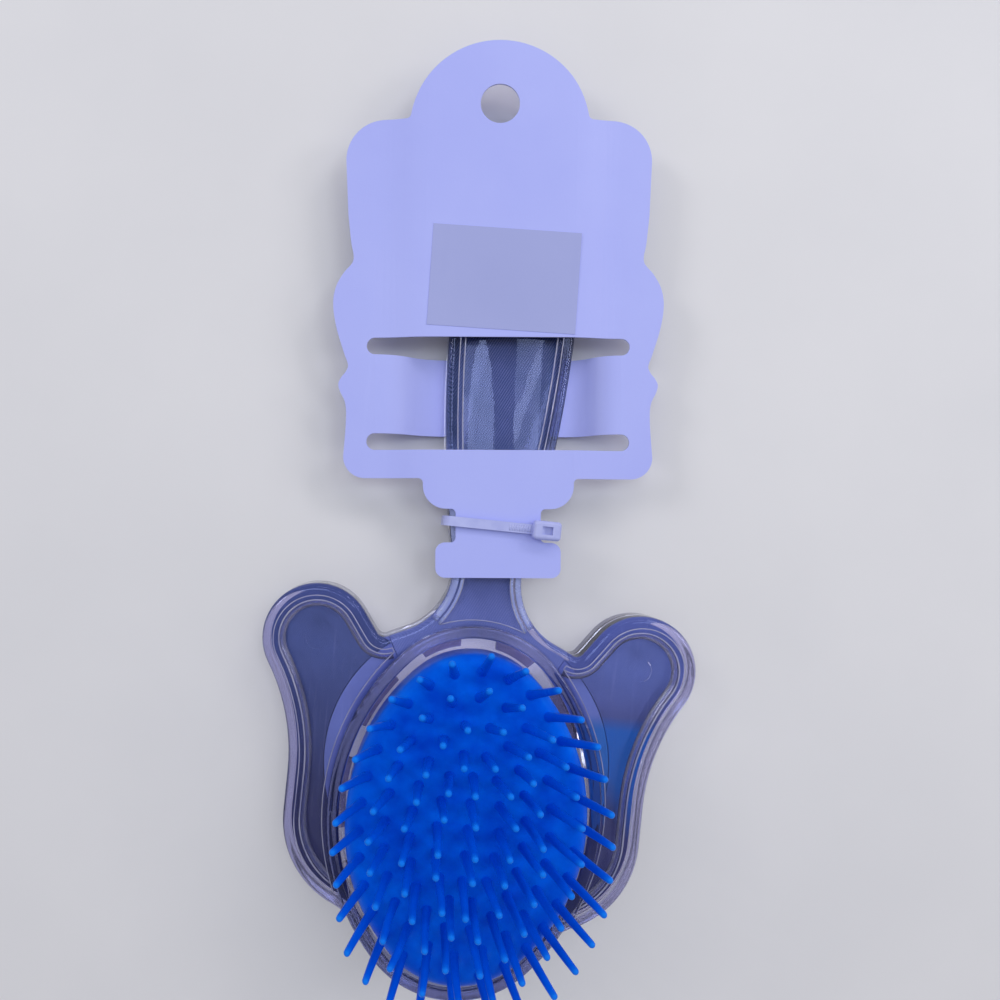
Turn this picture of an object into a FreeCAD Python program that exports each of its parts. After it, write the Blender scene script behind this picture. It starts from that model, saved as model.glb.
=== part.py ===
"""A cushioned hair brush with a clear two-piece body, still tied to its blank hang card.

Frame: the origin lies on the flat back, under the middle of the oval head. +Y runs to the end
of the handle, +Z points out of the pins, and +X completes the frame. All lengths are
millimetres and all angles degrees.
"""

import FreeCAD, Part
import math
import os

from FreeCAD import Vector

# General
OVERRUN = 2.0
SAME_PLACE = 0.00001
GLUE_LINE = 0.05
FIT_GAP = 0.3
HALF_STEP_SHARE = 0.5

# Head oval: the wall round the cushion
HEAD_WIDTH = 70.0
HEAD_LENGTH = 95.0
HEAD_END_RADIUS = 27.0

# Body outline: cheeks, waist, side lobes and shoulder
LOBE_REACH = 10.0
CHEEK_RADIUS = 24.0
CHEEK_FALL = 5.0
CHEEK_BLEND = 12.0
WAIST_RADIUS = 50.0
LOBE_RADIUS = 13.8
LOBE_INSET = 4.0
LOBE_DROP = 8.0
LOBE_CUT_ANGLE = 144.0
NOTCH_BLEND = 2.0
SHOULDER_RADIUS = 50.0
SHOULDER_SET = 0.4

# Handle outline
HANDLE_WIDTH = 31.8
HANDLE_REACH = 80.9
HANDLE_TIP = 26.7
HANDLE_SIDE_RADIUS = 320.0
NECK_BLEND = 17.0

# Body depth
BODY_DEPTH = 9.6
BACK_PLATE = 3.6
BACK_ROUND = 0.8
RIM_ROUND = 1.6
HANDLE_LIFT = 2.4
LIFT_RUN = 11.0

# Sunk panels of the front shell
RIM_WIDTH = 3.0
STEP_WIDTH = 1.3
STEP_DEPTH = 0.8
PANEL_DEPTH = 2.2
PANEL_GAP = 1.4
CROWN_RADIUS = 40.0
CROWN_SINK = 0.2
MARK_RADIUS = 3.0
MARK_DEPTH = 0.15

# Collar, well and flange of the front shell
COLLAR_SET = 1.0
COLLAR_WALL = 3.0
COLLAR_RISE = 2.4
COLLAR_ROUND = 0.9
FLANGE_LIFT = 0.6
FLANGE_THICKNESS = 1.4
FLANGE_GAP = 0.5
WINDOW_COUNT = 10
WINDOW_LENGTH = 9.0

# Printed films between the shells
FILM_THICKNESS = 0.3
FILM_ROOM = 0.45
FILM_LAND = 1.6
FILM_EDGE = 1.9
FILM_HEAD_SET = 1.7
FILM_GAP = 0.25
WELL_SKIRT = 1.4
CRESCENT_SHOW = 1.4
CRESCENT_SET = 0.2

# Cushion and its base
PAD_SIDE_GAP = 1.8
PAD_END_GAP = 3.2
PAD_STAND = 8.0
PAD_CROWN_RADIUS = 300.0
PAD_EDGE_ROUND = 3.5
PAD_SKIN = 2.0
PAD_TRAVEL = 2.5
SKIRT_ROOM = 0.9
BEAD_HEIGHT = 0.9
BEAD_REACH = 0.8
BASE_FLOOR = 1.55
BASE_WALL = 1.4
PEG_RADIUS = 2.0
PEG_DEPTH = 1.8
PEG_SIDE = 14.0
PEG_END = 20.0
BACKING_DROP = 2.2
BACKING_THICKNESS = 0.8

# Pins
PIN_EDGE = 3.6
PIN_PITCH = 6.1
PIN_SPACING = 6.4
PIN_RING_COUNT = 4
PIN_LENGTH = 14.5
PIN_ROOT_RADIUS = 1.1
PIN_TIP_RADIUS = 0.8
PIN_HEAD_RADIUS = 1.5
PIN_HEAD_THICKNESS = 0.6
PIN_HEAD_GAP = 0.9
PIN_HOLE_GAP = 0.08
PIN_SPLAY = 27.0
PIN_SPLAY_POWER = 1.5
RING_STEPS = 720

# Hang card
CARD_THICKNESS = 0.45
CARD_GAP = 0.3
CARD_LEAN = 5.6
CARD_SHIFT = 1.2
CARD_SAG = 1.5
CARD_FLAT_MARGIN = 1.0
STRAP_LEFT_SET = 3.0
STRAP_RIGHT_MARGIN = 1.6
CARD_BEND_RUN = 14.0
CARD_SIDE_MARGIN = 7.9
SLOT_HEIGHT = 4.2
STRAP_HEIGHT = 19.8
CARD_FOOT = 7.1
CARD_FOOT_ROUND = 5.4
FUNNEL_HALF_WIDTH = 18.8
FUNNEL_HEIGHT = 7.6
FUNNEL_ROUND = 5.8
CARD_NECK_HALF_WIDTH = 10.6
CARD_NECK_HEIGHT = 8.4
TAB_HALF_WIDTH = 15.6
TAB_HEIGHT = 8.8
TAB_ROUND = 2.4
BUMP_REACH = 1.7
BUMP_HALF_HEIGHT = 5.2
BUMP_LIFT = 2.2
BULGE_REACH = 3.4
BULGE_HEIGHT = 20.2
BULGE_TOP_HEIGHT = 6.0
BULGE_ROUND = 8.0
TIER_SET = 1.5
TIER_HEIGHT = 35.1
TIER_ROUND = 10.0
DOME_RADIUS = 22.6
DOME_SINK = 3.3
CORNER_ROUND = 1.2
HANG_HOLE_RADIUS = 4.9
HANG_HOLE_FALL = 15.8

# Blank label on the card
LABEL_WIDTH = 37.0
LABEL_HEIGHT = 25.2
LABEL_THICKNESS = 0.12
LABEL_TURN = -3.6
LABEL_SHIFT = 1.2
LABEL_LIFT = 1.8

# Cable tie
TIE_REACH = 24.7
TIE_WIDTH = 2.4
TIE_THICKNESS = 1.0
TIE_GAP = 0.6
TIE_CORNER = 0.8
TIE_HEAD_LENGTH = 6.9
TIE_HEAD_WIDTH = 4.7
TIE_HEAD_HEIGHT = 3.2
TIE_HEAD_ROUND = 0.9
TIE_WINDOW_LENGTH = 2.6
TIE_WINDOW_WIDTH = 2.0
TIE_WINDOW_DEPTH = 1.2
TIE_PAWL_THICKNESS = 0.7

# Heights and half sizes worked out from the sizes above
HEAD_HALF_WIDTH = HEAD_WIDTH / 2
HEAD_HALF_LENGTH = HEAD_LENGTH / 2
HANDLE_HALF_WIDTH = HANDLE_WIDTH / 2
WAIST_X = HEAD_HALF_WIDTH + LOBE_REACH
SHOULDER_TOP = HEAD_HALF_LENGTH - SHOULDER_SET
WIDEST_Y = SHOULDER_TOP + HANDLE_REACH
HANDLE_END_Y = WIDEST_Y + HANDLE_TIP
FRONT_BASE = BACK_PLATE + GLUE_LINE
PANEL_FLOOR = BODY_DEPTH - PANEL_DEPTH
COLLAR_TOP = BODY_DEPTH + COLLAR_RISE
WELL_SET = COLLAR_SET + COLLAR_WALL
WELL_SKIRT_SET = WELL_SET - WELL_SKIRT
PAD_HALF_WIDTH = HEAD_HALF_WIDTH - WELL_SET - PAD_SIDE_GAP
PAD_HALF_LENGTH = HEAD_HALF_LENGTH - WELL_SET - PAD_END_GAP
PAD_END_RADIUS = HEAD_END_RADIUS - WELL_SET - PAD_SIDE_GAP
PAD_TOP = COLLAR_TOP + PAD_STAND
CROWN_CENTRE = Vector(0, 0, PAD_TOP - PAD_CROWN_RADIUS)
SKIRT_FOOT = BACK_PLATE + PAD_TRAVEL + SKIRT_ROOM
BEAD_TOP = SKIRT_FOOT + BEAD_HEIGHT
BASE_BEAD_FOOT = BEAD_TOP + FIT_GAP
BASE_TOP = BASE_BEAD_FOOT + BEAD_HEIGHT
BASE_WALL_SET = PAD_SKIN + BEAD_REACH + FIT_GAP
PIN_SEAT_DEPTH = PAD_SKIN + PIN_HEAD_GAP
CARD_FRONT = BODY_DEPTH + CARD_GAP
CARD_BEHIND = HANDLE_LIFT - CARD_GAP - CARD_THICKNESS
CARD_LEVEL = CARD_FRONT - CARD_SAG
CARD_FLAT_HALF = HANDLE_HALF_WIDTH + CARD_FLAT_MARGIN
STRAP_LEFT_FLAT = HANDLE_HALF_WIDTH - STRAP_LEFT_SET
STRAP_RIGHT_FLAT = HANDLE_HALF_WIDTH + STRAP_RIGHT_MARGIN
STRAP_HALF_LENGTH = CARD_FLAT_HALF + CARD_BEND_RUN
CARD_HALF_WIDTH = STRAP_HALF_LENGTH + CARD_SIDE_MARGIN
SLOT_Y = (STRAP_HEIGHT + SLOT_HEIGHT) / 2
SLOT_TOP_Y = SLOT_Y + SLOT_HEIGHT / 2
FOOT_Y = -SLOT_TOP_Y - CARD_FOOT
NECK_TOP_Y = FOOT_Y - FUNNEL_HEIGHT
NECK_MIDDLE_Y = NECK_TOP_Y - CARD_NECK_HEIGHT / 2
TAB_TOP_Y = NECK_TOP_Y - CARD_NECK_HEIGHT
TAB_FOOT_Y = TAB_TOP_Y - TAB_HEIGHT
BUMP_TOP_Y = BUMP_LIFT + BUMP_HALF_HEIGHT
BULGE_Y = BUMP_TOP_Y + BULGE_HEIGHT
TIER_FOOT_Y = BULGE_Y + BULGE_TOP_HEIGHT
TIER_Y = TIER_FOOT_Y + TIER_HEIGHT
DOME_Y = TIER_Y - DOME_SINK
CARD_TOP_Y = DOME_Y + DOME_RADIUS
CARD_SPREAD = CARD_HALF_WIDTH + BULGE_REACH + OVERRUN
TIE_Y = SHOULDER_TOP + TIE_REACH


# Plane geometry


def place(centre, radius, angle):
    """The point at an angle on a circle."""
    turn = math.radians(angle)
    return centre + Vector(math.cos(turn), math.sin(turn), 0) * radius


def heading(start, end):
    """The angle of the line from one point to another."""
    return math.degrees(math.atan2(end.y - start.y, end.x - start.x))


def crossing(first, first_radius, second, second_radius):
    """Where two circles cross, on the right of the line from the first centre to the second."""
    gap = second - first
    along = (first_radius**2 - second_radius**2 + gap.Length**2) / (2 * gap.Length)
    aside = math.sqrt(first_radius**2 - along**2)
    unit = gap / gap.Length
    return first + unit * along + Vector(unit.y, -unit.x, 0) * aside


def arc(centre, radius, start, end):
    """The three points of an arc between two angles."""
    return [place(centre, radius, angle) for angle in (start, (start + end) / 2, end)]


def corner(before, point, after, radius):
    """The three points of the arc that rounds a corner of a path."""
    back = (before - point).normalize()
    on = (after - point).normalize()
    half = back.getAngle(on) / 2
    centre = point + (back + on).normalize() * (radius / math.sin(half))
    reach = radius / math.tan(half)
    return [point + back * reach, centre + (point - centre).normalize() * radius, point + on * reach]


def mirrored(spans):
    """Arcs followed by the same arcs on the other side of the Y axis, as one round."""
    far = [[Vector(-point.x, point.y, 0) for point in reversed(span)] for span in reversed(spans)]
    return spans + far


def path_edges(spans):
    """Edges through arcs of three points, with straight runs where neighbours don't meet."""
    edges = []
    for span, following in zip(spans, spans[1:]):
        edges.append(Part.Arc(*span).toShape())
        if not span[-1].isEqual(following[0], SAME_PLACE):
            edges.append(Part.makeLine(span[-1], following[0]))
    return edges


def round_face(spans):
    """A face inside a closed round of arcs and straight runs."""
    return Part.Face(Part.Wire(path_edges(spans + spans[:1])))


def disc(radius, x, y):
    """A round face."""
    return Part.Face(Part.Wire(Part.makeCircle(radius, Vector(x, y, 0))))


def prism(face, bottom, top):
    """A face in the XY plane drawn out between two heights."""
    solid = face.extrude(Vector(0, 0, top - bottom))
    solid.translate(Vector(0, 0, bottom))
    return solid


def upright_prism(face, start, end):
    """A face whose second axis becomes Z, drawn out along Y."""
    solid = face.extrude(Vector(0, 0, start - end))
    solid.rotate(Vector(0, 0, 0), Vector(1, 0, 0), 90)
    solid.translate(Vector(0, start, 0))
    return solid


# Outlines


def body_arcs():
    """The right half of the body outline: centre, radius, start, end and whether it bulges outwards."""
    foot = Vector(0, HEAD_END_RADIUS - HEAD_HALF_LENGTH, 0)
    cheek = Vector(WAIST_X - CHEEK_RADIUS, -CHEEK_FALL, 0)
    cheek_blend = crossing(foot, HEAD_END_RADIUS + CHEEK_BLEND, cheek, CHEEK_RADIUS + CHEEK_BLEND)
    lobe = lobe_centre()
    waist_fall = math.sqrt((WAIST_RADIUS + LOBE_RADIUS) ** 2 - (WAIST_RADIUS + LOBE_INSET) ** 2)
    waist = Vector(WAIST_X + WAIST_RADIUS, lobe.y - waist_fall, 0)
    shoulder = shoulder_centre()
    notch = notch_centre()
    side = Vector(HANDLE_HALF_WIDTH - HANDLE_SIDE_RADIUS, WIDEST_Y, 0)
    neck = crossing(shoulder, SHOULDER_RADIUS + NECK_BLEND, side, HANDLE_SIDE_RADIUS + NECK_BLEND)
    room = HANDLE_HALF_WIDTH * (2 * HANDLE_SIDE_RADIUS - HANDLE_HALF_WIDTH) - HANDLE_TIP**2
    end_radius = room / (2 * (HANDLE_SIDE_RADIUS - HANDLE_TIP))
    end = Vector(0, HANDLE_END_Y - end_radius, 0)
    return [
        (foot, HEAD_END_RADIUS, -90, heading(foot, cheek_blend), 1),
        (cheek_blend, CHEEK_BLEND, heading(cheek_blend, foot), heading(cheek_blend, cheek), -1),
        (cheek, CHEEK_RADIUS, heading(cheek, cheek_blend), 0, 1),
        (waist, WAIST_RADIUS, 180, heading(waist, lobe), -1),
        (lobe, LOBE_RADIUS, heading(lobe, waist), LOBE_CUT_ANGLE, 1),
        (notch, NOTCH_BLEND, LOBE_CUT_ANGLE - 180, heading(notch, shoulder), -1),
        (shoulder, SHOULDER_RADIUS, heading(shoulder, notch), heading(shoulder, neck), 1),
        (neck, NECK_BLEND, heading(neck, shoulder), heading(neck, side) - 360, -1),
        (side, HANDLE_SIDE_RADIUS, heading(side, neck), heading(side, end), 1),
        (end, end_radius, heading(side, end), 90, 1),
    ]


def lobe_centre():
    """The middle of the right side lobe."""
    return Vector(WAIST_X - LOBE_INSET, SHOULDER_TOP - LOBE_DROP, 0)


def shoulder_centre():
    """The middle of the shoulder's arc."""
    return Vector(0, SHOULDER_TOP - SHOULDER_RADIUS, 0)


def notch_centre():
    """The centre of the blend between the straight inner side of the right lobe and the shoulder."""
    lobe = lobe_centre()
    shoulder = shoulder_centre()
    outward = place(Vector(0, 0, 0), 1, LOBE_CUT_ANGLE)
    down = Vector(-outward.y, outward.x, 0)
    start = place(lobe, LOBE_RADIUS + NOTCH_BLEND, LOBE_CUT_ANGLE) - shoulder
    along = start.dot(down)
    room = along**2 - start.Length**2 + (SHOULDER_RADIUS + NOTCH_BLEND) ** 2
    return shoulder + start + down * (-along - math.sqrt(room))


def body_face(inset):
    """The body outline, drawn in by an even inset."""
    right = [arc(c, radius - bulge * inset, start, end) for c, radius, start, end, bulge in body_arcs()]
    return round_face(mirrored(right))


def oval_face(half_width, half_length, end_radius):
    """An oval of four arcs that run smoothly into each other."""
    end_y = half_length - end_radius
    side_radius = (half_width**2 + end_y**2 - end_radius**2) / (2 * (half_width - end_radius))
    side_x = half_width - side_radius
    turn = math.degrees(math.atan2(end_y, -side_x))
    right = [
        arc(Vector(0, -end_y, 0), end_radius, -90, -turn),
        arc(Vector(side_x, 0, 0), side_radius, -turn, turn),
        arc(Vector(0, end_y, 0), end_radius, turn, 90),
    ]
    return round_face(mirrored(right))


def head_face(inset):
    """The head oval, drawn in by an even inset."""
    return oval_face(HEAD_HALF_WIDTH - inset, HEAD_HALF_LENGTH - inset, HEAD_END_RADIUS - inset)


def pad_face(inset):
    """The cushion oval, drawn in by an even inset."""
    return oval_face(PAD_HALF_WIDTH - inset, PAD_HALF_LENGTH - inset, PAD_END_RADIUS - inset)


def lobe_centres():
    """The middles of the two side lobes."""
    lobe = lobe_centre()
    return [(-lobe.x, lobe.y), (lobe.x, lobe.y)]


def shoulder_lands(width):
    """Two wedges from the head's middle to the notches, as wide as given there, that part the panels."""
    notch = notch_centre()
    lands = []
    for side in (-1, 1):
        corners = [Vector(0, 0, 0), Vector(side * (notch.x - width), notch.y, 0), Vector(side * notch.x, notch.y, 0)]
        lands.append(Part.Face(Part.makePolygon(corners + corners[:1])))
    return lands


def panels(inset, bottom, top, head_inset, land_width):
    """Prisms clear of the outline, the shoulders and the head: left lobe, right lobe and handle."""
    whole = prism(body_face(inset), bottom, top)
    clear = [head_face(head_inset)] + shoulder_lands(land_width)
    parts = whole.cut([prism(face, bottom - OVERRUN, top + OVERRUN) for face in clear]).Solids
    parts = sorted(parts, key=lambda part: part.Volume)[-3:]
    parts.sort(key=lambda part: part.CenterOfMass.y)
    lobes = sorted(parts[:2], key=lambda part: part.CenterOfMass.x)
    return lobes + parts[2:]


# Shells


def s_bend(start, end):
    """Two arcs that join two level runs at different heights."""
    run = end.x - start.x
    rise = end.y - start.y
    radius = (run**2 + rise**2) / (4 * abs(rise))
    half_turn = math.asin(abs(run) / (2 * radius)) / 2
    aside = math.copysign(radius * math.sin(half_turn), run)
    along = Vector(aside, math.copysign(radius * (1 - math.cos(half_turn)), rise), 0)
    middle = (start + end) / 2
    return [[start, start + along, middle], [middle, end - along, end]]


def back_shell():
    """The flat back: a clear plate that rises under the handle, with sockets for the cushion's base."""
    shell = prism(body_face(0), 0, BACK_PLATE)
    lift_start = Vector(SHOULDER_TOP, 0, 0)
    lift_end = Vector(SHOULDER_TOP + LIFT_RUN, HANDLE_LIFT, 0)
    far = HANDLE_END_Y + OVERRUN
    bend = s_bend(lift_start, lift_end)
    edges = path_edges(bend + bend[:1])[:2]
    corners = [lift_end, Vector(far, HANDLE_LIFT, 0), Vector(far, -OVERRUN, 0)]
    corners += [Vector(lift_start.x, -OVERRUN, 0), lift_start]
    edges += Part.makePolygon(corners).Edges
    half_width = HANDLE_HALF_WIDTH + OVERRUN
    relief = Part.Face(Part.Wire(edges)).extrude(Vector(0, 0, 2 * half_width))
    relief.rotate(Vector(0, 0, 0), Vector(1, 1, 1), 120)
    relief.translate(Vector(-half_width, 0, 0))
    shell = shell.cut(relief)
    shell = shell.makeFillet(BACK_ROUND, rim_edges(shell, 0, HANDLE_LIFT))
    for x, y in peg_places():
        socket = disc(PEG_RADIUS + FIT_GAP / 2, x, y)
        shell = shell.cut(prism(socket, BACK_PLATE - PEG_DEPTH - FIT_GAP, BACK_PLATE + OVERRUN))
    return shell


def rim_edges(solid, low, high):
    """The level or rising edges of a solid that follow the body outline between two heights."""
    outline = body_face(0).OuterWire
    chosen = []
    for edge in solid.Edges:
        box = edge.BoundBox
        middle = edge.valueAt((edge.FirstParameter + edge.LastParameter) / 2)
        aside = Part.Vertex(middle.x, middle.y, 0).distToShape(outline)[0]
        upright = box.XLength + box.YLength < SAME_PLACE + box.ZLength / 2
        within = box.ZMin > low - SAME_PLACE and box.ZMax < high + SAME_PLACE
        if within and not upright and aside < SAME_PLACE:
            chosen.append(edge)
    return chosen


def peg_places():
    """The places of the four pegs under the cushion's base."""
    return [(x, y) for x in (-PEG_SIDE, PEG_SIDE) for y in (-PEG_END, PEG_END)]


def front_shell():
    """The clear front: a raised rim, sunk panels, a crowned handle and the collar round the cushion."""
    shell = prism(body_face(0), FRONT_BASE, BODY_DEPTH)
    shell = shell.makeFillet(RIM_ROUND, rim_edges(shell, BODY_DEPTH, BODY_DEPTH))
    panel_head = COLLAR_SET - PANEL_GAP
    land = notch_centre().x - HANDLE_HALF_WIDTH
    steps = [(RIM_WIDTH, STEP_DEPTH), (RIM_WIDTH + STEP_WIDTH, PANEL_DEPTH)]
    for inset, depth in steps:
        shell = shell.cut(panels(inset, BODY_DEPTH - depth, BODY_DEPTH + OVERRUN, panel_head, land))
    for x, y in lobe_centres():
        mark = prism(disc(MARK_RADIUS, x, y), PANEL_FLOOR - MARK_DEPTH, PANEL_FLOOR + OVERRUN)
        shell = shell.cut(mark)
    shell = shell.fuse([handle_crown(panel_head, land), collar()])
    shell = shell.cut(prism(head_face(WELL_SET), -OVERRUN, COLLAR_TOP + OVERRUN))
    room = prism(body_face(FILM_LAND), FRONT_BASE - OVERRUN, FRONT_BASE + FILM_ROOM)
    room = room.cut(prism(head_face(WELL_SKIRT_SET), -OVERRUN, COLLAR_TOP))
    return shell.cut(room).fuse(flange()).removeSplitter()


def handle_crown(panel_head, land):
    """The gently crowned clear panel of the handle."""
    panel = panels(RIM_WIDTH + STEP_WIDTH, PANEL_FLOOR, BODY_DEPTH, panel_head, land)[2]
    centre = Vector(0, SHOULDER_TOP - OVERRUN - HEAD_HALF_LENGTH, BODY_DEPTH - CROWN_SINK - CROWN_RADIUS)
    length = HANDLE_END_Y - centre.y
    return panel.common(Part.makeCylinder(CROWN_RADIUS, length, centre, Vector(0, 1, 0)))


def collar():
    """The raised wall round the well, solid until the well is cut."""
    wall = prism(head_face(COLLAR_SET), FRONT_BASE, COLLAR_TOP)
    wall = wall.cut(prism(head_face(WELL_SET), FRONT_BASE - OVERRUN, COLLAR_TOP + OVERRUN))
    top = [edge for edge in wall.Edges if edge.BoundBox.ZMin > BODY_DEPTH]
    return wall.makeFillet(COLLAR_ROUND, top)


def flange():
    """The ledge at the foot of the well, with windows that let the moulding slip off its core."""
    bottom = FRONT_BASE + FLANGE_LIFT
    top = bottom + FLANGE_THICKNESS
    ledge = prism(head_face(WELL_SET - WELL_SKIRT / 2), bottom, top)
    ledge = ledge.cut(prism(pad_face(-FLANGE_GAP), bottom - OVERRUN, top + OVERRUN))
    inside = prism(head_face(WELL_SET), bottom - OVERRUN, top + OVERRUN)
    half_width = HEAD_HALF_WIDTH - WELL_SET
    half_length = HEAD_HALF_LENGTH - WELL_SET
    for index in range(WINDOW_COUNT):
        turn = 2 * math.pi * (index + HALF_STEP_SHARE) / WINDOW_COUNT
        centre = Vector(half_width * math.cos(turn), half_length * math.sin(turn), 0)
        along = Vector(-half_width * math.sin(turn), half_length * math.cos(turn), 0)
        window_corner = Vector(-WINDOW_LENGTH / 2, -PAD_END_GAP, 0)
        window = Part.makePlane(WINDOW_LENGTH, 2 * PAD_END_GAP, window_corner)
        window.rotate(Vector(0, 0, 0), Vector(0, 0, 1), heading(Vector(0, 0, 0), along))
        window.translate(centre)
        ledge = ledge.cut(prism(window, bottom - OVERRUN, top + OVERRUN).common(inside))
    return ledge


# Printed films between the shells


def films():
    """The film of each lobe, its lighter crescent beside the head, and the film of the handle."""
    bottom = FRONT_BASE
    top = bottom + FILM_THICKNESS
    left, right, handle = panels(FILM_EDGE, bottom, top, FILM_HEAD_SET, FILM_GAP)
    radius = HEAD_HALF_WIDTH + CRESCENT_SHOW
    centre_y = SHOULDER_TOP - CRESCENT_SET - radius
    inner = prism(disc(radius, 0, centre_y), bottom, top)
    outer = prism(disc(radius + FILM_GAP, 0, centre_y), bottom - OVERRUN, top + OVERRUN)
    return {
        "left_lobe_film": largest(left.cut(outer)),
        "right_lobe_film": largest(right.cut(outer)),
        "left_crescent_film": largest(left.common(inner)),
        "right_crescent_film": largest(right.common(inner)),
        "handle_film": handle,
    }


def largest(shape):
    """The largest solid of a shape."""
    return max(shape.Solids, key=lambda solid: solid.Volume)


# Cushion


def pad_base():
    """The fixed tray under the cushion: its beaded wall keeps the cushion from lifting off."""
    bead = prism(pad_face(PAD_SKIN + FIT_GAP), BASE_BEAD_FOOT, BASE_TOP)
    tray = prism(pad_face(BASE_WALL_SET), FRONT_BASE, BASE_TOP).fuse(bead)
    hollow = prism(pad_face(BASE_WALL_SET + BASE_WALL), FRONT_BASE + BASE_FLOOR, BASE_TOP + OVERRUN)
    peg_foot = BACK_PLATE - PEG_DEPTH
    peg_top = FRONT_BASE + BASE_FLOOR
    pegs = [prism(disc(PEG_RADIUS, x, y), peg_foot, peg_top) for x, y in peg_places()]
    return tray.cut(hollow).fuse(pegs).removeSplitter()


def crown_ball(drop):
    """The large ball of the cushion's crown, turned to keep its poles and seam off the cushion."""
    ball = Part.makeSphere(PAD_CROWN_RADIUS - drop)
    ball.rotate(Vector(0, 0, 0), Vector(0, 1, 0), 90)
    ball.translate(CROWN_CENTRE)
    return ball


def crowned(inset, foot, drop, edge_round):
    """An oval block whose top is part of a large ball, with a rounded top edge."""
    block = prism(pad_face(inset), foot, PAD_TOP).common(crown_ball(drop))
    top = [edge for edge in block.Edges if edge.BoundBox.ZMin > (SKIRT_FOOT + PAD_TOP) / 2]
    return block.makeFillet(edge_round, top) if edge_round else block


def pad_cushion(seats):
    """The crowned rubber skin, open below, with an inward bead on its skirt and a hole for each pin."""
    skin = crowned(0, SKIRT_FOOT, 0, PAD_EDGE_ROUND)
    skin = skin.cut(crowned(PAD_SKIN, SKIRT_FOOT - OVERRUN, PAD_SKIN, PAD_EDGE_ROUND - PAD_SKIN))
    bead = prism(pad_face(PAD_SKIN / 2), SKIRT_FOOT, BEAD_TOP)
    bead = bead.cut(prism(pad_face(PAD_SKIN + BEAD_REACH), SKIRT_FOOT - OVERRUN, BEAD_TOP + OVERRUN))
    hole_radius = PIN_ROOT_RADIUS + PIN_HOLE_GAP
    hole = Part.makeCylinder(hole_radius, 2 * PIN_SEAT_DEPTH, Vector(0, 0, -PIN_SEAT_DEPTH))
    holes = [placed(hole, seat) for seat in seats]
    return skin.fuse(bead).removeSplitter().cut(holes)


def pin_backing():
    """The sheet behind the pin heads that keeps them from being pushed back."""
    inset = PAD_SKIN + GLUE_LINE
    sheet = crowned(inset, SKIRT_FOOT, PAD_SKIN + BACKING_DROP, 0)
    return sheet.cut(crown_ball(PAD_SKIN + BACKING_DROP + BACKING_THICKNESS))


# Pins


def pin_shape():
    """One pin along Z, with its flat head below the cushion's outer face at the origin."""
    head_foot = -PIN_SEAT_DEPTH - PIN_HEAD_THICKNESS
    shoulder = Vector(PIN_TIP_RADIUS, 0, PIN_LENGTH - PIN_TIP_RADIUS)
    tip = Vector(0, 0, PIN_LENGTH)
    corners = [Vector(0, 0, head_foot), Vector(PIN_HEAD_RADIUS, 0, head_foot)]
    corners += [Vector(PIN_HEAD_RADIUS, 0, -PIN_SEAT_DEPTH), Vector(PIN_ROOT_RADIUS, 0, -PIN_SEAT_DEPTH)]
    corners += [Vector(PIN_ROOT_RADIUS, 0, 0), shoulder]
    diagonal = PIN_TIP_RADIUS / math.sqrt(2)
    bend = Vector(diagonal, 0, shoulder.z + diagonal)
    edges = Part.makePolygon(corners).Edges + [Part.Arc(shoulder, bend, tip).toShape()]
    edges.append(Part.makeLine(tip, corners[0]))
    return Part.Face(Part.Wire(edges)).revolve(Vector(0, 0, 0), Vector(0, 0, 1), 360)


def placed(shape, seat):
    """A copy of a shape moved from the origin to a seat."""
    copy = shape.copy()
    copy.Placement = seat
    return copy


def pin_seat(x, y):
    """The place and direction of a pin: it stands on the crown and leans out towards the edge."""
    share = math.hypot(x / PAD_HALF_WIDTH, y / PAD_HALF_LENGTH)
    lean = math.radians(PIN_SPLAY * share**PIN_SPLAY_POWER)
    foot = Vector(x, y, CROWN_CENTRE.z + math.sqrt(PAD_CROWN_RADIUS**2 - x**2 - y**2))
    out = Vector(x / PAD_HALF_WIDTH**2, y / PAD_HALF_LENGTH**2, 0)
    if out.Length:
        out.normalize()
    way = out * math.sin(lean) + Vector(0, 0, math.cos(lean))
    return FreeCAD.Placement(foot, FreeCAD.Rotation(Vector(0, 0, 1), way))


def ring_places(half_width, half_length, late):
    """Evenly spaced places on an oval ring, with every other ring half a step late."""
    turns = [2 * math.pi * step / RING_STEPS for step in range(RING_STEPS + 1)]
    points = [Vector(half_width * math.cos(turn), half_length * math.sin(turn), 0) for turn in turns]
    lengths = [0]
    for before, after in zip(points, points[1:]):
        lengths.append(lengths[-1] + before.distanceToPoint(after))
    count = 2 * round(lengths[-1] / PIN_SPACING / 2)
    places = []
    for index in range(count):
        wanted = lengths[-1] * (index + late) / count
        step = next(i for i, length in enumerate(lengths) if length >= wanted)
        places.append((points[step].x, points[step].y))
    return places


def pin_seats():
    """The seats of the pins, ring by ring from the edge, and of the row in the middle."""
    seats = {}
    for ring in range(PIN_RING_COUNT):
        inset = PIN_EDGE + ring * PIN_PITCH
        late = HALF_STEP_SHARE if ring % 2 == 0 else 0
        places = ring_places(PAD_HALF_WIDTH - inset, PAD_HALF_LENGTH - inset, late)
        seats[f"pin_ring_{ring + 1}"] = [pin_seat(x, y) for x, y in places]
    half_row = PAD_HALF_LENGTH - PIN_EDGE - PIN_RING_COUNT * PIN_PITCH
    count = 1 + 2 * round(half_row / PIN_SPACING)
    row = [half_row * (2 * index / (count - 1) - 1) for index in range(count)] if count > 1 else [0]
    seats["pin_middle_row"] = [pin_seat(0, y) for y in row]
    return seats


# Hang card, label and tie


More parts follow.
